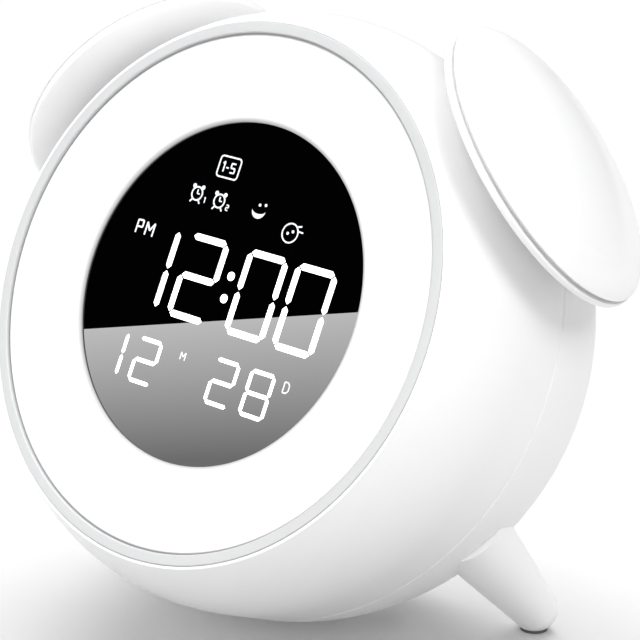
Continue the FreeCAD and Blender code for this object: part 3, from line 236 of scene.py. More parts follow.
def arc(start, end, radius, steps=24):
    """Points after the start up to the end on the arc of that radius; positive turns left.

    The centre lies sqrt(radius^2 - (chord / 2)^2) from the chord, on its perpendicular bisector, and
    the points are the centre plus the radius times (cos, sin) of evenly spaced angles.
    """
    start, end = np.array(start, float), np.array(end, float)
    chord = end - start
    length = np.hypot(*chord)
    left = np.array([-chord[1], chord[0]]) / length
    centre = (start + end) / 2 + left * math.copysign(math.sqrt(radius ** 2 - length ** 2 / 4), radius)
    first = math.atan2(*(start - centre)[::-1])
    sweep = 2 * math.asin(length / 2 / abs(radius)) * (1 if radius > 0 else -1)
    angles = first + sweep * np.arange(1, steps + 1) / steps
    return centre + abs(radius) * np.stack([np.cos(angles), np.sin(angles)], 1)


def eased(corners, radii, steps=6):
    """An outline with rounded corners: each is a quadratic curve that starts a radius before it."""
    corners = np.array(corners, float)
    before = np.roll(corners, 1, 0) - corners
    after = np.roll(corners, -1, 0) - corners
    before_length, after_length = np.hypot(*before.T), np.hypot(*after.T)
    reach = np.minimum(np.array(radii, float), 0.45 * np.minimum(before_length, after_length))
    first = corners + before / before_length[:, None] * reach[:, None]
    last = corners + after / after_length[:, None] * reach[:, None]
    t = np.linspace(0, 1, steps + 1)[None, :, None]
    curve = (1 - t) ** 2 * first[:, None] + 2 * t * (1 - t) * corners[:, None] + t ** 2 * last[:, None]
    points = curve.reshape(-1, 2)
    keep = np.hypot(*(points - np.roll(points, 1, 0)).T) > 1e-7
    return points[keep]


def make_mesh(name, points, faces, material, sharp=40.0):
    """A mesh object at the origin with outward faces and smooth shading up to the sharp angle."""
    mesh = bpy.data.meshes.new(name)
    mesh.from_pydata(points, [], faces)
    mesh.validate()
    mesh.materials.append(material)
    mesh.shade_smooth()
    mesh.set_sharp_from_angle(angle=math.radians(sharp))
    piece = bpy.data.objects.new(name, mesh)
    bpy.context.scene.collection.objects.link(piece)
    return piece


def loop_area(outline):
    """Twice the signed area of a closed outline: the sum of x_i z_(i+1) - x_(i+1) z_i."""
    after = np.roll(outline, -1, 0)
    return (outline[:, 0] * after[:, 1] - after[:, 0] * outline[:, 1]).sum()


def turned(name, outline, matrix, material, segments=256):
    """A closed surface of revolution: point(i, a) = (r_i cos a, y_i, r_i sin a).

    The outline is a closed loop of (radius, place along Y). Points on the axis are one vertex each,
    so the poles are closed.
    """
    outline = np.array(outline, float)
    angles = np.arange(segments) * 2 * np.pi / segments
    on_axis = outline[:, 0] < 1e-9
    counts = np.where(on_axis, 1, segments)
    starts = np.concatenate([[0], np.cumsum(counts)[:-1]])
    rings = [np.array([[0.0, y, 0.0]]) if pole else
             np.stack([r * np.cos(angles), np.full(segments, y), r * np.sin(angles)], 1)
             for (r, y), pole in zip(outline, on_axis)]
    points = np.concatenate(rings)
    here = np.arange(segments)
    there = np.roll(here, -1)
    faces = []
    for i in range(len(outline)):
        j = (i + 1) % len(outline)
        a, b = starts[i], starts[j]
        if on_axis[i] and on_axis[j]:
            continue
        if on_axis[i]:
            band = np.stack([np.full(segments, a), b + there, b + here], 1)
        elif on_axis[j]:
            band = np.stack([a + here, a + there, np.full(segments, b)], 1)
        else:
            band = np.stack([a + here, a + there, b + there, b + here], 1)
        faces += band.tolist()
    if (loop_area(outline) > 0) != (matrix.to_3x3().determinant() < 0):
        faces = [face[::-1] for face in faces]
    return make_mesh(name, moved(points, matrix), faces, material)


def slabs(name, outlines, matrix, depth, thickness, material):
    """Flat shapes with an edge: each outline (x, z) is a front face, a back face and a wall of quads."""
    points, faces, base = [], [], 0
    for outline in outlines:
        outline = np.array(outline, float)
        if loop_area(outline) < 0:
            outline = outline[::-1]
        count = len(outline)
        front = np.stack([outline[:, 0], np.full(count, depth - thickness), outline[:, 1]], 1)
        back = front + [0.0, thickness, 0.0]
        points += [front, back]
        here = base + np.arange(count)
        there = base + np.roll(np.arange(count), -1)
        faces.append(here.tolist())
        faces.append((here + count)[::-1].tolist())
        faces += np.stack([there, here, here + count, there + count], 1).tolist()
        base += 2 * count
    return make_mesh(name, moved(np.concatenate(points), matrix), faces, material, 30.0)


# Finishes

DRIFT_SCALE = 22.0
BUMP_DEPTH = 0.04 * MM
COAT_ROUGHNESS = 0.08
SKIN_DEPTH = 2.0 * MM
WHITE = (1.0, 1.0, 1.0, 1.0)


def painted_ring_shade(nodes, links, place, rings):
    """Painted shade by distance from the face's axis: the stand's turn is undone, then Y is dropped."""
    stand = bpy.context.scene.clock_stand
    face = nodes.new("ShaderNodeMapping")
    face.vector_type = "TEXTURE"
    face.inputs["Location"].default_value = (0.0, stand.back, stand.lift)
    face.inputs["Rotation"].default_value = (-stand.lean, 0.0, 0.0)
    flat = nodes.new("ShaderNodeVectorMath")
    flat.operation = "MULTIPLY"
    flat.inputs[1].default_value = (1.0, 0.0, 1.0)
    reach = nodes.new("ShaderNodeVectorMath")
    reach.operation = "LENGTH"
    share = nodes.new("ShaderNodeMapRange")
    share.inputs["From Min"].default_value = rings[0][0]
    share.inputs["From Max"].default_value = rings[-1][0]
    shade = nodes.new("ShaderNodeValToRGB")
    ramp = shade.color_ramp
    while len(ramp.elements) < len(rings):
        ramp.elements.new(0.5)
    for element, (radius, grey) in zip(ramp.elements, rings):
        element.position = (radius - rings[0][0]) / (rings[-1][0] - rings[0][0])
        element.color = (grey, grey, grey, 1.0)
    links.new(place.outputs["Object"], face.inputs["Vector"])
    links.new(face.outputs["Vector"], flat.inputs[0])
    links.new(flat.outputs["Vector"], reach.inputs[0])
    links.new(reach.outputs["Value"], share.inputs["Value"])
    links.new(share.outputs["Result"], shade.inputs["Fac"])
    return shade


def finish(name, base, roughness, grain, grain_size=0.6 * MM, mottle=0.02, metallic=0.0, coat=0.0,
           glow=None, glow_strength=0.0, ior=1.47, subsurface=0.0, rings=None):
    """A moulded or metal finish: its colour and gloss drift a little, and its grain is a fine bump.

    The rings are pairs of a radius about the face's axis and the share of the colour kept there: painted
    shade that darkens both the colour and the glow.
    """
    material = bpy.data.materials.new(f"{name}_finish")
    material["slot"] = name
    material.use_nodes = True
    nodes, links = material.node_tree.nodes, material.node_tree.links
    shader = nodes["Principled BSDF"]
    shader.inputs["Metallic"].default_value = metallic
    shader.inputs["IOR"].default_value = ior
    shader.inputs["Coat Weight"].default_value = coat
    shader.inputs["Coat Roughness"].default_value = COAT_ROUGHNESS
    if subsurface:
        shader.inputs["Subsurface Weight"].default_value = subsurface
        shader.inputs["Subsurface Scale"].default_value = SKIN_DEPTH
    if glow is not None:
        shader.inputs["Emission Color"].default_value = glow
        shader.inputs["Emission Strength"].default_value = glow_strength
    place = nodes.new("ShaderNodeTexCoord")
    drift = nodes.new("ShaderNodeTexNoise")
    drift.inputs["Scale"].default_value = DRIFT_SCALE
    drift.inputs["Detail"].default_value = 3.0
    links.new(place.outputs["Object"], drift.inputs["Vector"])
    tone = nodes.new("ShaderNodeValToRGB")
    low = [max(c * (1 - mottle), 0.0) for c in base[:3]] + [1.0]
    high = [min(c * (1 + mottle), 1.0) for c in base[:3]] + [1.0]
    tone.color_ramp.elements[0].position, tone.color_ramp.elements[0].color = 0.35, low
    tone.color_ramp.elements[1].position, tone.color_ramp.elements[1].color = 0.65, high
    links.new(drift.outputs["Fac"], tone.inputs["Fac"])
    # Painted shade: the grey rings darken the glow and the base colour near the window and at the outer edge.
    if rings:
        shade = painted_ring_shade(nodes, links, place, rings)
        links.new(shade.outputs["Color"], shader.inputs["Emission Color"])
        blend = nodes.new("ShaderNodeMix")
        blend.data_type, blend.blend_type = "RGBA", "MULTIPLY"
        blend.inputs["Factor"].default_value = 1.0
        links.new(tone.outputs["Color"], blend.inputs["A"])
        links.new(shade.outputs["Color"], blend.inputs["B"])
        links.new(blend.outputs["Result"], shader.inputs["Base Color"])
    else:
        links.new(tone.outputs["Color"], shader.inputs["Base Color"])
    gloss = nodes.new("ShaderNodeMapRange")
    gloss.inputs["To Min"].default_value = roughness * 0.88
    gloss.inputs["To Max"].default_value = roughness * 1.12
    links.new(drift.outputs["Fac"], gloss.inputs["Value"])
    links.new(gloss.outputs["Result"], shader.inputs["Roughness"])
    if grain:
        texture = nodes.new("ShaderNodeTexNoise")
        texture.inputs["Scale"].default_value = 1.0 / grain_size
        texture.inputs["Detail"].default_value = 2.0
        links.new(place.outputs["Object"], texture.inputs["Vector"])
        bump = nodes.new("ShaderNodeBump")
        bump.inputs["Strength"].default_value = grain
        bump.inputs["Distance"].default_value = BUMP_DEPTH
        links.new(texture.outputs["Fac"], bump.inputs["Height"])
        links.new(bump.outputs["Normal"], shader.inputs["Normal"])
    return material


FINISHES = {}


def finishes():
    """Every finish by the record's slot name; made once and then found again."""
    if FINISHES:
        return FINISHES
    tone = bpy.context.scene.clock_finish
    face, show = bpy.context.scene.clock_face, bpy.context.scene.clock_display
    # Painted shade on the light ring: grey at the window's bevel and in the dark gap by the bezel, full white
    # between.
    rings = ((face.window, 0.34), (face.window + 1.0 * MM, 0.62), (face.window + 2.4 * MM, 1.0),
             (face.ring_outer - 0.9 * MM, 1.0), (face.ring_outer - 0.3 * MM, 0.55), (face.ring_outer, 0.35))
    made = (
        finish("shell_white", tone.shell, 0.34, 0.04, mottle=0.003, coat=0.25),
        finish("shell_rear", tone.shell, 0.36, 0.04, mottle=0.003),
        finish("bezel_grey", tone.bezel, 0.34, 0.12, mottle=0.01),
        finish("diffuser", tone.diffuser, 0.42, 0.06, mottle=0.004, glow=WHITE, glow_strength=face.glow,
               subsurface=0.2, rings=rings),
        finish("lens_black", tone.lens, 0.0, 0.0, mottle=0.05, ior=2.0),
        finish("inner_black", (0.03, 0.03, 0.032, 1.0), 0.5, 0.3, mottle=0.08),
        finish("inner_white", (0.85, 0.85, 0.83, 1.0), 0.6, 0.2, mottle=0.02),
        finish("board_green", (0.02, 0.12, 0.05, 1.0), 0.35, 0.3, 1.2 * MM, mottle=0.12, coat=0.4),
        finish("chip_black", (0.02, 0.02, 0.02, 1.0), 0.45, 0.4, 0.3 * MM, mottle=0.1),
        finish("diode", (0.9, 0.86, 0.6, 1.0), 0.3, 0.1, mottle=0.03),
        finish("steel", (0.55, 0.55, 0.57, 1.0), 0.32, 0.3, 0.4 * MM, mottle=0.06,
               metallic=1.0),
        finish("key_grey", tone.keys, 0.38, 0.25, 0.4 * MM, mottle=0.015),
        finish("rubber_grey", tone.rubber, 0.75, 0.8, 0.5 * MM, mottle=0.1),
        finish("paper", (0.05, 0.05, 0.05, 1.0), 0.85, 0.8, 0.5 * MM, mottle=0.2),
        finish("can", (0.6, 0.6, 0.62, 1.0), 0.28, 0.1, mottle=0.03, metallic=1.0),
        finish("lit_digit", tone.digits, 0.4, 0.0, mottle=0.003, glow=tone.digits,
               glow_strength=show.glow),
        finish("lit_sign", tone.signs, 0.4, 0.0, mottle=0.003, glow=tone.signs,
               glow_strength=show.sign_glow),
    )
    FINISHES.update((material["slot"], material) for material in made)
    return FINISHES


class CLOCK_OT_finish_frame(bpy.types.Operator):
    """Gives each carried-over part the finish of its slot"""
    bl_idname = "clock.finish_frame"
    bl_label = "Finish the packed parts"

    def execute(self, context):
        """Finds each part's slot in the record and swaps its material."""
        known = finishes()
        for entry in frame["record"]["subparts"]:
            part = frame["nodes"][entry["node"]]
            for holder in [part] + list(part.children_recursive):
                if holder.type == "MESH":
                    for holding in holder.material_slots:
                        holding.material = known[entry["material_slot"]]
        return {"FINISHED"}


# The face: three outlines of (radius, depth)

def bezel_outline(face):
    """The bezel: a flat band with an outer wall behind it."""
    bore = face.bezel_outer - face.bezel_wall
    return eased([(face.bezel_inner, 0.0), (face.bezel_outer, 0.0), (face.bezel_outer, face.bezel_depth),
                  (bore, face.bezel_depth), (bore, face.bezel_face), (face.bezel_inner, face.bezel_face)],
                 np.array([0.35, 0.3, 0.05, 0.05, 0.02, 0.1]) * MM)


def ring_outline(face):
    """The light ring: a bevel at the window, the dished face, a rounded edge and the back."""
    lip = face.lens_depth - face.ring_lip
    seat = face.lens_depth - face.play
    flange = face.bezel_face + face.play
    flange_radius = face.bezel_outer - face.bezel_wall - face.play
    pocket = face.lens_radius + face.lens_room
    dish_in = (face.window + face.bevel, lip - face.bevel_depth)
    dish_out = (face.ring_outer - face.ring_edge, face.ring_setback)
    rim = (face.ring_outer, face.ring_setback + face.ring_edge)
    return np.concatenate([
        arc((face.window, lip), dish_in, face.bevel_arc, 10),
        arc(dish_in, dish_out, -face.ring_dish, 48),
        arc(dish_out, rim, face.ring_edge_arc, 6),
        [(face.ring_outer, flange), (flange_radius, flange), (flange_radius, face.bezel_depth),
         (face.ring_body, face.bezel_depth), (face.ring_body - 0.5 * MM, face.bezel_depth + 0.6 * MM),
         (pocket, face.lens_depth + 1.0 * MM), (pocket, seat), (face.window, seat), (face.window, lip)],
    ])


def lens_outline(face):
    """The lens: a disc with a bevelled front edge."""
    back = face.lens_depth + face.lens_thickness
    return [(0.0, face.lens_depth), (face.lens_radius - face.lens_chamfer, face.lens_depth),
            (face.lens_radius, face.lens_depth + face.lens_chamfer), (face.lens_radius, back), (0.0, back)]


class CLOCK_OT_face(bpy.types.Operator):
    """Builds the bezel, the dished light ring and the display lens"""
    bl_idname = "clock.face"
    bl_label = "Bezel, light ring and lens"

    def execute(self, context):
        """Turns the three outlines about the drum's axis."""
        known, face = finishes(), context.scene.clock_face
        stand = stand_matrix(context.scene.clock_stand)
        piece = turned("bezel", bezel_outline(face), stand, known["bezel_grey"], 384)
        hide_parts("bezel_ring")
        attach(piece, "clock")

        piece = turned("light_diffuser", ring_outline(face), stand, known["diffuser"], 384)
        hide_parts("light_ring")
        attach(piece, "clock")

        piece = turned("lens", lens_outline(face), stand, known["lens_black"])
        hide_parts("display_lens")
        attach(piece, "clock")
        return {"FINISHED"}


# An ear: two outlines of (radius, height over the underside)

def ridge_radii(ears):
    """Outer and inner radius of the ridge that stands behind the groove."""
    outer = ears.radius - ears.inset - ears.skirt - ears.ridge_gap
    return outer, outer - ears.ridge_width


def saucer_outline(ears):
    """The base: its band, the ridge, the wall that the cap hooks over and the floor with its hole."""
    outer, inner = ridge_radii(ears)
    return eased([(ears.underside - 1.2 * MM, 0.0), (ears.radius, 0.2 * MM), (ears.radius, ears.band),
                  (outer, ears.band), (outer, ears.ridge_height), (inner, ears.ridge_height),
                  (inner, ears.band), (ears.wall_outer, ears.band), (ears.wall_outer, ears.wall_height),
                  (ears.wall_inner, ears.wall_height), (ears.wall_inner, ears.floor),
                  (ears.wire_hole, ears.floor), (ears.wire_hole, 0.0)],
                 np.array([1.0, 1.2, 0.4, 0.1, 0.2, 0.2, 0.1, 0.1, 0.2, 0.2, 0.1, 0.1, 0.2]) * MM)


def dome_outline(ears):
    """The cap: its underside with the hooks, the rim's corner, the shoulder and the crown."""
    outer, inner = ridge_radii(ears)
    rim, low, corner = ears.radius - ears.inset, ears.band + ears.groove, 0.4 * MM
    shoulder = (ears.shoulder_radius, ears.shoulder_height)
    top = ears.shoulder_height + ears.crown_arc - math.sqrt(ears.crown_arc ** 2 - ears.shoulder_radius ** 2)
    outline = np.concatenate([
        [(0.0, ears.ceiling), (ears.hook_inner, ears.ceiling_edge), (ears.hook_inner, ears.hook_end),
         (ears.hook_outer, ears.hook_end), (ears.hook_outer, ears.hook_root),
         (ears.wall_outer + ears.wall_room, ears.hook_root), (inner - 0.2 * MM, 5.0 * MM),
         (outer + 0.2 * MM, 4.3 * MM), (rim - ears.skirt, low), (rim - corner, low)],
        arc((rim - corner, low), (rim, low + corner), corner, 6),
        arc((rim, low + corner), shoulder, ears.shoulder_arc, 28),
        arc(shoulder, (0.0, top), ears.crown_arc, 40),
    ])
    outline[-1, 0] = 0.0
    return outline


class CLOCK_OT_ears(bpy.types.Operator):
    """Builds the base and the pressing cap of each ear"""
    bl_idname = "clock.ears"
    bl_label = "Ears"

    def execute(self, context):
        """Turns both outlines about each ear's axis."""
        known, ears, stand = finishes(), context.scene.clock_ears, context.scene.clock_stand
        saucer, dome = saucer_outline(ears), dome_outline(ears)
        for side, sign in (("right", 1), ("left", -1)):
            place = ear_matrix(stand, ears, sign)
            piece = turned(f"ear_saucer_{side}", saucer, place, known["shell_white"])
            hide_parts(f"ear_base_{side}")
            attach(piece, "clock")
            piece = turned(f"ear_dome_{side}", dome, place, known["shell_white"])
            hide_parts(f"ear_cap_{side}")
            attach(piece, f"ear_cap_{side}")
        return {"FINISHED"}


# Lit shapes: each is an outline (x, z) on the lens, in millimetres along the digits' own turned axes.
# The time and the date are (character, x, z of the centre); a mark is (character, x and z of its lower
# left corner, height, width of its strokes).

TIME = tuple((character, x, 1.95) for character, x in zip("1200", (-24.4, -7.7, 12.2, 28.2)))
COLON, COLON_RADIUS = ((2.5, 4.9), (2.5, -1.0)), 1.15
DATE = (("1", -27.9, -22.3), ("2", -16.0, -22.3), ("2", 10.4, -21.4), ("8", 22.2, -21.4))
MARKS = (("P", -33.2, 8.9, 3.5, 0.48), ("M", -29.9, 8.9, 3.5, 0.48), ("M", -5.2, -19.0, 2.0, 0.3),
         ("D", 29.4, -18.8, 2.7, 0.34), ("1", -14.2, 21.0, 1.5, 0.28), ("2", -6.2, 20.6, 1.5, 0.28))
BELL_CLOCKS, BELL_RADIUS, BELL_LINE = ((-16.9, 22.9), (-9.0, 22.5)), 1.75, 0.42
SMILE, SMILE_RADIUS, SMILE_DOTS = (4.5, 22.9), 2.2, ((4.3, 24.2), (6.2, 24.5))
ROUND, ROUND_RADIUS, ROUND_LINE = (16.3, 19.4), 2.45, 0.38
ROUND_DOTS, DOT_RADIUS = ((15.6, 19.2), (17.1, 19.9)), 0.4
ROUND_TICKS = (((18.2, 21.4), (19.4, 21.7)), ((18.9, 20.3), (20.3, 20.2)))
DAYS = (-9.3, 31.4)

BARS = {"0": "abcdef", "1": "bc", "2": "abged", "3": "abgcd", "4": "fgbc", "5": "afgcd", "6": "afgedc",
        "7": "abc", "8": "abcdefg", "9": "abcdfg"}


def bar(centre, length, width, upright):
    """A bar with pointed ends, as six corners about its middle."""
    half, w = length / 2, width / 2
    shape = np.array([(-half, 0), (-half + w, -w), (half - w, -w), (half, 0), (half - w, w), (-half + w, w)])
    if upright:
        shape = shape[:, ::-1]
    return shape + centre


def digit(character, x, z, height, width, thickness):
    """The bars of one seven-bar digit about its centre; each end stops 0.16 of a bar's width short."""
    gap = 0.16 * thickness
    flat, tall = width - 2 * gap, height / 2 - 2 * gap
    places = {"a": ((x, z + height / 2), flat, False), "g": ((x, z), flat, False),
              "d": ((x, z - height / 2), flat, False),
              "b": ((x + width / 2, z + height / 4), tall, True),
              "c": ((x + width / 2, z - height / 4), tall, True),
              "e": ((x - width / 2, z - height / 4), tall, True),
              "f": ((x - width / 2, z + height / 4), tall, True)}
    return [bar(np.array(places[k][0]), places[k][1], thickness, places[k][2]) for k in BARS[character]]


def disc(x, z, radius, count=28):
    """A filled circle."""
    angles = np.arange(count) * 2 * np.pi / count
    return np.stack([x + radius * np.cos(angles), z + radius * np.sin(angles)], 1)


def band(x, z, radius, width, start, end, count=28):
    """Part of a ring between two angles: (radius +- width / 2) (cos, sin), out and back."""
    angles = np.radians(np.linspace(start, end, count + 1))
    ray = np.stack([np.cos(angles), np.sin(angles)], 1)
    return np.concatenate([(radius + width / 2) * ray, (radius - width / 2) * ray[::-1]]) + [x, z]


def crescent(x, z, radius, count=24):
    """A crescent: a half circle below, and a half ellipse 0.45 as deep back to its start."""
    a = np.radians(np.linspace(180, 360, count))
    outer = np.stack([x + radius * np.cos(a), z + radius * np.sin(a)], 1)
    inner = np.stack([outer[::-1, 0], z + radius * 0.45 * np.sin(a[::-1])], 1)
    return np.concatenate([outer, inner[1:-1]])


def split_ring(x, z, radius, width):
    """A full ring as two half bands, so that each outline is simple."""
    return [band(x, z, radius, width, 0, 180), band(x, z, radius, width, 180, 360)]


def stroke(a, b, width):
    """A straight line with a width."""
    a, b = np.array(a, float), np.array(b, float)
    side = np.array([-(b - a)[1], (b - a)[0]]) / np.hypot(*(b - a)) * width / 2
    return np.array([a - side, b - side, b + side, a + side])


def bell_clock(x, z, radius, width):
    """A small alarm clock: a ring, two hands, two bells and two feet."""
    shapes = split_ring(x, z, radius, width)
    for tip in ((x, z + radius * 0.62), (x + radius * 0.5, z)):
        shapes.append(stroke((x, z), tip, width * 0.8))
    for k in (-1, 1):
        shapes.append(disc(x + k * radius * 0.85, z + radius * 1.05, radius * 0.34, 14))
        ankle, toe = (x + k * radius * 0.6, z - radius * 0.95), (x + k * radius * 0.95, z - radius * 1.4)
        shapes.append(stroke(ankle, toe, width))
    return shapes


LETTERS = {
    "P": [((0, 0), (0, 1)), ((0, 1), (0.55, 1)), ((0.55, 1), (0.55, 0.5)), ((0.55, 0.5), (0, 0.5))],
    "M": [((0, 0), (0, 1)), ((0, 1), (0.38, 0.4)), ((0.38, 0.4), (0.76, 1)), ((0.76, 1), (0.76, 0))],
    "D": [((0, 0), (0, 1)), ((0, 1), (0.4, 1)), ((0.4, 1), (0.62, 0.75)), ((0.62, 0.75), (0.62, 0.25)),
          ((0.62, 0.25), (0.4, 0)), ((0.4, 0), (0, 0))],
    "1": [((0.1, 0.78), (0.3, 1)), ((0.3, 1), (0.3, 0))],
    "2": [((0, 0.95), (0.5, 0.95)), ((0.5, 0.95), (0.5, 0.5)), ((0.5, 0.5), (0, 0.5)), ((0, 0.5), (0, 0.05)),
          ((0, 0.05), (0.5, 0.05))],
    "5": [((0.5, 0.95), (0, 0.95)), ((0, 0.95), (0, 0.5)), ((0, 0.5), (0.5, 0.5)), ((0.5, 0.5), (0.5, 0.05)),
          ((0.5, 0.05), (0, 0.05))],
    "-": [((0.08, 0.5), (0.42, 0.5))],
}


def letter(character, x, z, height, width):
    """A letter of straight strokes whose lower left corner is at (x, z)."""
    return [stroke((x + a[0] * height, z + a[1] * height), (x + b[0] * height, z + b[1] * height), width)
            for a, b in LETTERS[character]]


def framed_days(x, z):
    """The digits 1 and 5 with a dash between them, in a rounded frame about the centre."""
    half_w, half_h, corner, line = 3.5, 2.75, 0.9, 0.42
    shapes = []
    flat, tall = half_w - corner, half_h - corner
    for k in (-1, 1):
        shapes.append(stroke((x - flat, z + k * half_h), (x + flat, z + k * half_h), line))
        shapes.append(stroke((x + k * half_w, z - tall), (x + k * half_w, z + tall), line))
    for k, m, start in ((1, 1, 0), (-1, 1, 90), (-1, -1, 180), (1, -1, 270)):
        shapes.append(band(x + k * flat, z + m * tall, corner, line, start, start + 90, 6))
    parts = (("1", -2.5, 2.7, line), ("-", -1.1, 2.4, 0.36), ("5", 0.65, 2.7, line))
    for character, left, height, width in parts:
        shapes += letter(character, x + left, z - 1.35, height, width)
    return shapes


def small_signs():
    """Every small sign and letter of the display."""
    signs = [shape for mark in MARKS for shape in letter(*mark)]
    for x, z in BELL_CLOCKS:
        signs += bell_clock(x, z, BELL_RADIUS, BELL_LINE)
    signs.append(crescent(*SMILE, SMILE_RADIUS))
    signs += split_ring(*ROUND, ROUND_RADIUS, ROUND_LINE)
    signs += [disc(x, z, DOT_RADIUS, 14) for x, z in SMILE_DOTS + ROUND_DOTS]
    signs += [stroke(a, b, ROUND_LINE) for a, b in ROUND_TICKS]
    return signs + framed_days(*DAYS)


class CLOCK_OT_display(bpy.types.Operator):
    """Builds the lit digits and signs on the lens"""
    bl_idname = "clock.display"
    bl_label = "Digits and signs"

    def execute(self, context):
        """Lays out the time, the date and the signs in millimetres."""
        known, show = finishes(), context.scene.clock_display
        face = context.scene.clock_face
        big = np.array([show.time_height, show.time_width, show.time_bar]) / MM
        small = np.array([show.date_height, show.date_width, show.date_bar]) / MM
        hours = [shape for entry in TIME for shape in digit(*entry, *big)]
        hours += [disc(x, z, COLON_RADIUS) for x, z in COLON]
        days = [shape for entry in DATE for shape in digit(*entry, *small)]
        shapes = {"time": hours, "date": days, "signs": small_signs()}
        place = stand_matrix(context.scene.clock_stand) @ Matrix.Rotation(-show.turned, 4, "Y")
        for name, outlines in shapes.items():
            piece = slabs(f"lit_{name}", [outline * MM for outline in outlines], place, face.lens_depth,
                          show.proud, known["lit_sign" if name == "signs" else "lit_digit"])
            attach(piece, "clock")
        return {"FINISHED"}


# Stage

FLOOR_HALF = 3.0
DOME_RADIUS = 6.0
CARD_PLACE, CARD_HALF, CARD_HEIGHT, CARD_FADE = (-0.334, -0.400, 0.018), 0.5, 0.35, 0.066
LAMPS = (("softbox", "key", 0.9, (-0.45, -0.35, 1.05), (0.0, 0.0, 0.08)),
         ("side", "side", 0.6, (0.85, -0.15, 0.95), (0.0, 0.0, 0.09)),
         ("fill", "fill", 0.8, (0.15, -1.1, 0.45), (0.0, 0.0, 0.09)))
SUN_SPREAD = math.radians(60.0)


def stage_card(name, low, high, matrix, glow_low, glow_high):
    """A card from low to high along Z that only mirrors see; it dims from Z = 0 down to -CARD_FADE."""
    mesh = bpy.data.meshes.new(name)
    corners = [(-CARD_HALF, 0, low), (CARD_HALF, 0, low), (CARD_HALF, 0, high), (-CARD_HALF, 0, high)]
    mesh.from_pydata(corners, [], [(0, 1, 2, 3)])
    piece = bpy.data.objects.new(name, mesh)
    piece.matrix_world = matrix
    bpy.context.scene.collection.objects.link(piece)
    material = bpy.data.materials.new(name)
    material.use_nodes = True
    nodes, links = material.node_tree.nodes, material.node_tree.links
    nodes.clear()
    place = nodes.new("ShaderNodeTexCoord")
    axes = nodes.new("ShaderNodeSeparateXYZ")
    ramp = nodes.new("ShaderNodeMapRange")
    ramp.inputs["From Min"].default_value = -CARD_FADE
    ramp.inputs["From Max"].default_value = 0.0
    ramp.inputs["To Min"].default_value = glow_low
    ramp.inputs["To Max"].default_value = glow_high
    light = nodes.new("ShaderNodeEmission")
    output = nodes.new("ShaderNodeOutputMaterial")
    links.new(place.outputs["Object"], axes.inputs["Vector"])
    links.new(axes.outputs["Z"], ramp.inputs["Value"])
    links.new(ramp.outputs["Result"], light.inputs["Strength"])
    links.new(light.outputs["Emission"], output.inputs["Surface"])
    mesh.materials.append(material)
    piece.visible_camera = piece.visible_diffuse = False
    piece.visible_shadow = piece.visible_transmission = False


def lay_floor(stage):
    """A wide sheet of white paper under the clock, which shines a little by itself."""
    mesh = bpy.data.meshes.new("floor")
    corners = [(x * FLOOR_HALF, y * FLOOR_HALF, 0) for x, y in ((-1, -1), (1, -1), (1, 1), (-1, 1))]
    mesh.from_pydata(corners, [], [(0, 1, 2, 3)])
    floor = bpy.data.objects.new("floor", mesh)
    mesh.materials.append(finish("floor_paper", (0.93, 0.93, 0.93, 1.0), 0.7, 0.1, 2.0 * MM, mottle=0.004,
                                 glow=WHITE, glow_strength=stage.floor_glow))
    bpy.context.scene.collection.objects.link(floor)
    return floor


def hang_backdrop():
    """A white dome that only the camera sees: DOME_RADIUS (cos a cos u, sin a cos u, sin u)."""
    mesh = bpy.data.meshes.new("backdrop")
    count, levels = 48, 24
    around, up = np.meshgrid(np.arange(count) * 2 * np.pi / count, np.linspace(-1.5, 1.5, levels))
    ray = np.stack([np.cos(around) * np.cos(up), np.sin(around) * np.cos(up), np.sin(up)], -1)
    i, j = np.meshgrid(np.arange(levels - 1), np.arange(count), indexing="ij")
    k = (j + 1) % count
    faces = np.stack([i * count + j, (i + 1) * count + j, (i + 1) * count + k, i * count + k], -1)
    mesh.from_pydata(DOME_RADIUS * ray.reshape(-1, 3), [], faces.reshape(-1, 4).tolist())
    dome = bpy.data.objects.new("backdrop", mesh)
    glow = bpy.data.materials.new("backdrop_white")
    glow.use_nodes = True
    nodes = glow.node_tree.nodes
    nodes.clear()
    light = nodes.new("ShaderNodeEmission")
    output = nodes.new("ShaderNodeOutputMaterial")
    glow.node_tree.links.new(light.outputs["Emission"], output.inputs["Surface"])
    mesh.materials.append(glow)
    dome.visible_diffuse = dome.visible_glossy = dome.visible_shadow = dome.visible_transmission = False
    bpy.context.scene.collection.objects.link(dome)


def light_stage(stage, floor):
    """The even sky, three lamps and a sun that skip the floor, and a sun that only the floor takes."""
    scene = bpy.context.scene
    world = bpy.data.worlds.new("even_light")
    world.use_nodes = True
    sky = world.node_tree.nodes["Background"]
    sky.inputs["Color"].default_value = WHITE
    sky.inputs["Strength"].default_value = stage.sky
    scene.world = world
    all_but_floor = bpy.data.collections.new("all_but_floor")
    all_but_floor.objects.link(floor)
    all_but_floor.collection_objects[0].light_linking.link_state = "EXCLUDE"
    floor_only = bpy.data.collections.new("floor_only")
    floor_only.objects.link(floor)
    for name, setting, width, place, target in LAMPS:
        data = bpy.data.lights.new(name, "AREA")
        data.shape, data.size, data.energy = "SQUARE", width, getattr(stage, setting)
        lamp = bpy.data.objects.new(name, data)
        lamp.location = place
        lamp.rotation_euler = (Vector(target) - Vector(place)).to_track_quat("-Z", "Y").to_euler()
        lamp.light_linking.receiver_collection = all_but_floor
        scene.collection.objects.link(lamp)
    for name, strength, place, takers in (
            ("overhead", stage.overhead, (0.0, 0.0, 1.0), all_but_floor),
            ("floor_light", stage.floor_light, (-0.32, 0.36, 0.9), floor_only)):
        data = bpy.data.lights.new(name, "SUN")
        data.energy, data.angle = strength, SUN_SPREAD
        lamp = bpy.data.objects.new(name, data)
        lamp.rotation_euler = Vector(place).to_track_quat("Z", "Y").to_euler()
        lamp.light_linking.receiver_collection = takers
        scene.collection.objects.link(lamp)


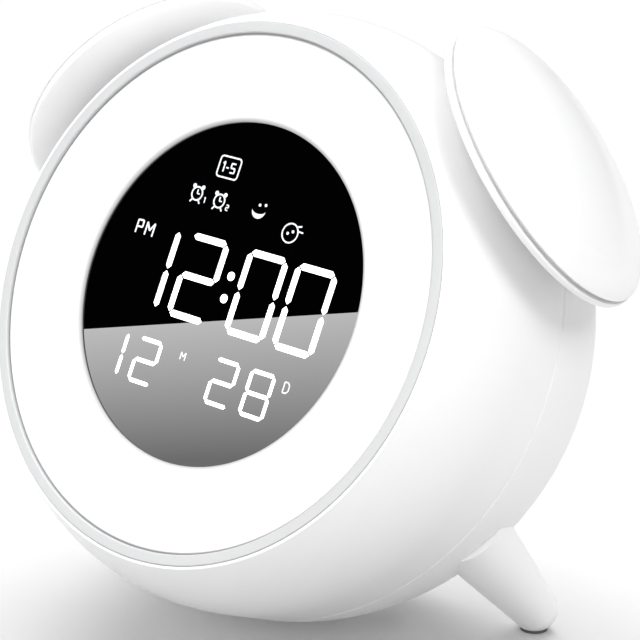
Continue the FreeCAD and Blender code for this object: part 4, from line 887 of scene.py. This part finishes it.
def set_camera(stage):
    """The camera of the photo's view."""
    scene = bpy.context.scene
    data = bpy.data.cameras.new("camera")
    data.sensor_width, data.lens = 36.0, stage.lens
    data.clip_start, data.clip_end = 0.01, 50.0
    camera = bpy.data.objects.new("camera", data)
    camera.location = stage.camera_place
    camera.rotation_euler = (math.pi / 2 - stage.elevation, 0.0, stage.azimuth)
    scene.collection.objects.link(camera)
    scene.camera = camera


class CLOCK_OT_stage(bpy.types.Operator):
    """Builds the floor, the backdrop, the lights and the camera"""
    bl_idname = "clock.stage"
    bl_label = "Stage"

    def execute(self, context):
        """Sets up the stage; the cards' common edge crosses the lens's mirror view."""
        scene, stage = context.scene, context.scene.clock_stage
        scene.view_settings.view_transform = "Standard"
        floor = lay_floor(stage)
        hang_backdrop()
        stand = stand_matrix(scene.clock_stand)
        edge = stand @ Matrix.Translation(CARD_PLACE) @ Matrix.Rotation(-stage.card_slope, 4, "Y")
        stage_card("mirror_light", -CARD_HEIGHT, 0.0, edge, stage.card * 0.30, stage.card)
        stage_card("mirror_dark", 0.0, CARD_HEIGHT, edge, 0.0, 0.0)
        light_stage(stage, floor)
        set_camera(stage)
        return {"FINISHED"}


STEPS = (CLOCK_OT_finish_frame, CLOCK_OT_face, CLOCK_OT_ears, CLOCK_OT_display, CLOCK_OT_stage)
SETTINGS = {"clock_stand": StandSettings, "clock_ears": EarSettings, "clock_face": FaceSettings,
            "clock_display": DisplaySettings, "clock_finish": FinishSettings, "clock_stage": StageSettings}


class CLOCK_PT_panel(bpy.types.Panel):
    """Lists the steps and their sizes"""
    bl_idname = "CLOCK_PT_panel"
    bl_label = "Sunrise alarm clock"
    bl_space_type = "VIEW_3D"
    bl_region_type = "UI"
    bl_category = "Clock"

    def draw(self, context):
        """Draws a button for each step and a box for each group of sizes."""
        for step in STEPS:
            self.layout.operator(step.bl_idname)
        for name, group in SETTINGS.items():
            box = self.layout.box()
            settings = getattr(context.scene, name)
            for field in group.__annotations__:
                box.prop(settings, field)


def register():
    """Registers the settings, the steps and the panel."""
    for name, group in SETTINGS.items():
        bpy.utils.register_class(group)
        setattr(bpy.types.Scene, name, PointerProperty(type=group))
    for cls in STEPS + (CLOCK_PT_panel,):
        bpy.utils.register_class(cls)


def unregister():
    """Takes them away again."""
    for cls in reversed(STEPS + (CLOCK_PT_panel,)):
        bpy.utils.unregister_class(cls)
    for name, group in SETTINGS.items():
        delattr(bpy.types.Scene, name)
        bpy.utils.unregister_class(group)


def main():
    """Runs every step in order."""
    register()
    bpy.ops.clock.finish_frame()
    bpy.ops.clock.face()
    bpy.ops.clock.ears()
    bpy.ops.clock.display()
    bpy.ops.clock.stage()


if __name__ == "__main__":
    main()
